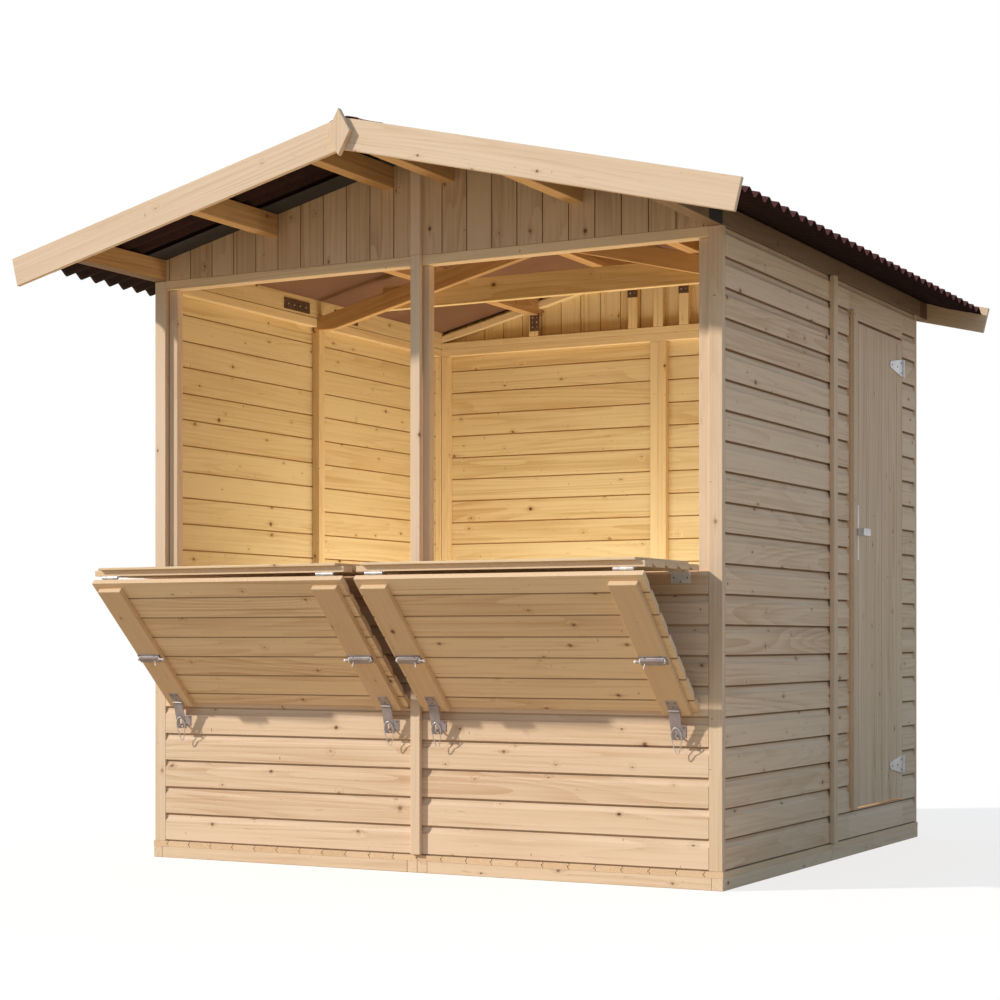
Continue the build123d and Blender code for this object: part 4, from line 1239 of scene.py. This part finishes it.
bolt_along = 0.3195
for side_name, side in sides:
    centres = [side * centre for centre in hinge_centres]
    hinge_steel = Piece()
    hinges = "counter_hinges_" + side_name
    steel_from_node(hinge_steel, hinges, finish=pale_zinc_painted_reflection)
    board_low, board_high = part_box("counter_" + side_name)
    rows = (board_high.y - 0.013, board_low.y + lining_lip + 0.013)
    under = board_low.z - leaf_thickness
    places = []
    for middle in centres:
        for across in hinge_screw_across:
            places += [((middle + across, y, under), (0, 0, -1)) for y in rows]
    screws(hinge_steel, places, 0.8, 7)
    hinge_steel.make("counter_steel_" + side_name, "counter_" + side_name, "steel", hinges)

    turn = flap_place(side_name)
    out_of_flap = turn.to_3x3() @ Vector((0, 0, 1))
    flap_steel = Piece()
    inner, outer = reach_of("flap_" + side_name)
    hasps_start = wall_face - 0.25
    node = "flap_fittings_" + side_name
    steel_from_node(flap_steel, node, lambda low, high: high.y < hasps_start and high.x - low.x < 0.08)
    steel_from_node(flap_steel, node, lambda low, high: low.y > hasps_start, grey_steel)
    edge, far_edge = cleat_inset + 0.0006, cleat_inset + cleat_width
    bolt(flap_steel, turn, side * (inner + edge), side * (inner + far_edge), bolt_along, side)
    bolt(flap_steel, turn, side * (outer - edge), side * (outer - far_edge), bolt_along, -side)
    places = []
    for middle in centres:
        for across, along in ((-0.0105, 0.494), (0.0105, 0.494), (0.0, 0.512)):
            places.append((turn @ Vector((middle + across, along, 0.0405)), out_of_flap))
        for across in hinge_screw_across:
            places.append((turn @ Vector((middle + across, 0.0185, leaf_thickness)), -out_of_flap))
    screws(flap_steel, places, 0.8, 9)
    for middle in centres:
        snap_hook(flap_steel, middle, fitting_low.z + 0.004)
    flap_steel.make("flap_steel_" + side_name, "flap_" + side_name, "steel", node)

# ---- Door steel ----
strap_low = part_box("door_hinge_straps")[0]
plates_low, plates_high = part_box("door_hinge_plates")
strap_height = 0.062
strap_thickness = 0.003
door_axis = Vector(joint_place["door_swing"])
plate_centres = (plates_low.z + strap_height / 2, plates_high.z - strap_height / 2)
barrel_radius = 0.004
third = (strap_height - 0.0008) / 6
knuckle_reach = 0.005
tip_radius = 0.013
strap_end = door_axis.y - knuckle_reach
strap_face = strap_low.x

straps = Piece()
places = []
for centre in plate_centres:
    outline = [(strap_end, -0.031), (strap_end - 0.010, -0.031)]
    tip = arc((strap_low.y + tip_radius, 0), tip_radius, math.pi / 2, math.pi, 8)
    outline += [(along, -up) for along, up in tip]
    outline += [(strap_end - 0.010, 0.031), (strap_end, 0.031)]
    place = placed((0, 1, 0), (0, 0, 1), (1, 0, 0), (strap_face, 0, centre))
    straps.add(slab(outline, strap_thickness, 0.0006), place, finish=zinc)
    start, end = strap_end - 0.001, door_axis.y
    web = slab(((start, -third), (end, -third), (end, third), (start, third)), 0.0028, 0.0003)
    straps.add(web, place, finish=zinc)
    knuckle = turned((
        (0.0, -third), (0.0037, -third), (barrel_radius, -third + 0.0004),
        (barrel_radius, third - 0.0004), (0.0037, third), (0.0, third),
    ), 20)
    straps.add(knuckle, Matrix.Translation((door_axis.x, door_axis.y, centre)), finish=zinc)
    for reach, up in ((0.018, 0.018), (0.018, -0.018), (0.060, 0.0), (0.118, 0.0)):
        places.append(((strap_face + strap_thickness, strap_end - reach, centre + up), (1, 0, 0)))
screws(straps, places, 1.0, 11)
straps.make("door_strap_steel", "door", "steel", "door_hinge_straps")

plates = Piece()
steel_from_node(plates, "door_hinge_plates")
places = []
for height in [centre + up for centre in plate_centres for up in (-0.022, 0.0, 0.022)]:
    places.append(((plates_low.x + strap_thickness, plates_high.y - 0.0085, height), (1, 0, 0)))
screws(plates, places, 0.8, 13)
plates.make("door_plate_steel", "hut", "steel", "door_hinge_plates")

handle = Piece()
steel_from_node(handle, "door_handle")
handle_low, handle_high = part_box("door_handle")
middle_y, middle_z = (handle_low.y + handle_high.y) / 2, (handle_low.z + handle_high.z) / 2
handle_plate = 0.003
places = []
for face_x, outward in ((door_high.x + handle_plate, 1), (door_low.x - handle_plate, -1)):
    for up in (-0.080, 0.080):
        places.append(((face_x, middle_y, middle_z + up), (outward, 0, 0)))
screws(handle, places, 0.9, 15)
handle.make("door_handle_steel", "door", "steel", "door_handle")

# ---- Perforated plates inside ----
hole_pitch = 0.0185
strip_thickness = 0.0015
inside = Piece()


def joining_plate(place, length, columns, rows, seed):
    """A perforated strip with a screw in every other hole; its X is its length and Z its face."""
    sizes = {
        "Length": length, "Width": 0.020 * rows + 0.002 if rows > 1 else 0.040, "Hole Pitch": hole_pitch,
        "Hole Radius": 0.0023, "Thickness": strip_thickness, "Columns": columns, "Rows": rows,
        "Finish": dark_steel,
    }
    blank = bpy.data.meshes.new("blank")
    inside.add(through_tree(blank, perforated, sizes), place, finish=dark_steel)
    spots = []
    facing = place.to_3x3() @ Vector((0, 0, 1))
    for column in range(columns):
        for row in range(column % 2, rows, 2):
            x = (column - (columns - 1) / 2) * hole_pitch
            y = (row - (rows - 1) / 2) * hole_pitch
            spots.append((place @ Vector((x, y, strip_thickness)), facing))
    screws(inside, spots, 1.0, seed, zinc)


purlin_face = abs(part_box("left_wall")[0].x) - 0.0015 - 0.045 - 0.001
for side in (-1, 1):
    for number, y in enumerate((-0.166, 0.166)):
        place = placed((0, side, 0), (0, 0, -1), (-side, 0, 0), (side * purlin_face, y, 1.933))
        joining_plate(place, 0.165, 7, 1, 20 + number)
gable_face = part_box("gable_frames")[1].y - 0.029
for number, (x, z) in enumerate(((-0.535, 1.984), (0.535, 1.984), (-0.1075, 2.085), (0.1075, 2.085))):
    place = placed((0, 0, -1), (1, 0, 0), (0, -1, 0), (x, gable_face, z))
    joining_plate(place, 0.070, 3, 2, 30 + number)
inside.make("joining_plates", "hut", "steel")


# ---- Light, floor and camera ----
def make_world():
    """A pale bluish sky that shows as white."""
    world = bpy.data.worlds.new("studio")
    world.use_nodes = True
    bpy.context.scene.world = world
    tree = Tree(world.node_tree)
    path = tree.node("ShaderNodeLightPath").outputs
    seen = Value(tree, path["Is Camera Ray"]) + path["Is Glossy Ray"] + path["Is Transmission Ray"]
    seen = seen.math("MINIMUM", 1.0)
    ambient = tree.result("ShaderNodeBackground", None, {"Color": (0.52, 0.73, 1.0, 1), "Strength": 0.60})
    white = tree.result("ShaderNodeBackground", None, {"Color": (1, 1, 1, 1), "Strength": 1.0})
    both = tree.result("ShaderNodeMixShader", None, {0: seen, 1: ambient, 2: white})
    tree.node("ShaderNodeOutputWorld", None, {0: both})


def make_ground():
    """A pale floor that takes the hut's shadow and bounces a warm light."""
    finish = Finish("studio_floor")
    path = finish.node("ShaderNodeLightPath").outputs
    seen = Value(finish, path["Is Camera Ray"])
    colour = finish.mix(seen, (0.62, 0.485, 0.33, 1), (0.96, 0.96, 0.96, 1))
    matt = finish.result("ShaderNodeBsdfDiffuse", None, {"Color": colour, "Roughness": 0.0})
    sockets = {"Color": (1.0, 0.97, 0.935, 1), "Strength": 1.075}
    white = finish.result("ShaderNodeEmission", None, sockets)
    both = finish.result("ShaderNodeMixShader", None, {0: seen * 0.72, 1: matt, 2: white})
    finish.node("ShaderNodeOutputMaterial", None, {"Surface": both})
    size = 60.0
    corners = [(-size, -size, 0), (size, -size, 0), (size, size, 0), (-size, size, 0)]
    mesh = bpy.data.meshes.new("ground")
    mesh.from_pydata(corners, [], [(0, 1, 2, 3)])
    mesh.materials.append(finish.material)
    ground = linked("ground", mesh)


def make_inside_lamp():
    """A wide soft lamp just above the floor inside, turned up and a little towards the back."""
    light = bpy.data.lights.new("inside_lamp", "AREA")
    light.shape = "RECTANGLE"
    light.size = 1.5
    light.size_y = 0.9
    light.energy = 27.8
    light.color = (0.92, 0.96, 0.92)
    lamp = linked("inside_lamp", light)
    lamp.location = (0, 0.12, 0.22)
    lamp.rotation_euler = (math.pi - 0.35, 0, 0)
    lamp.visible_camera = False
    lamp.visible_glossy = False


def make_sun():
    """A low sun from the left of the front."""
    light = bpy.data.lights.new("sun", "SUN")
    light.energy = 3.5
    light.color = (1.0, 0.94, 0.86)
    light.angle = math.radians(2.0)
    lamp = linked("sun", light)
    travel = Vector((1.339, 1.0, -1.004))
    lamp.rotation_mode = "QUATERNION"
    lamp.rotation_quaternion = travel.to_track_quat("-Z", "Y")
    lamp.location = (-4, -4, 4)


def make_camera():
    """Eye level low at the right front corner."""
    data = bpy.data.cameras.new("camera")
    data.sensor_width = 36.0
    data.lens = 74.57
    data.shift_y = 0.1405
    data.clip_end = 200.0
    camera = linked("camera", data)
    camera.location = (3.2461, -6.4470, 0.7164)
    camera.rotation_euler = (math.radians(90), 0, math.radians(28.2244))
    bpy.context.scene.camera = camera


make_camera()
make_sun()
make_inside_lamp()
make_world()
make_ground()
bpy.context.scene.view_settings.view_transform = "Standard"
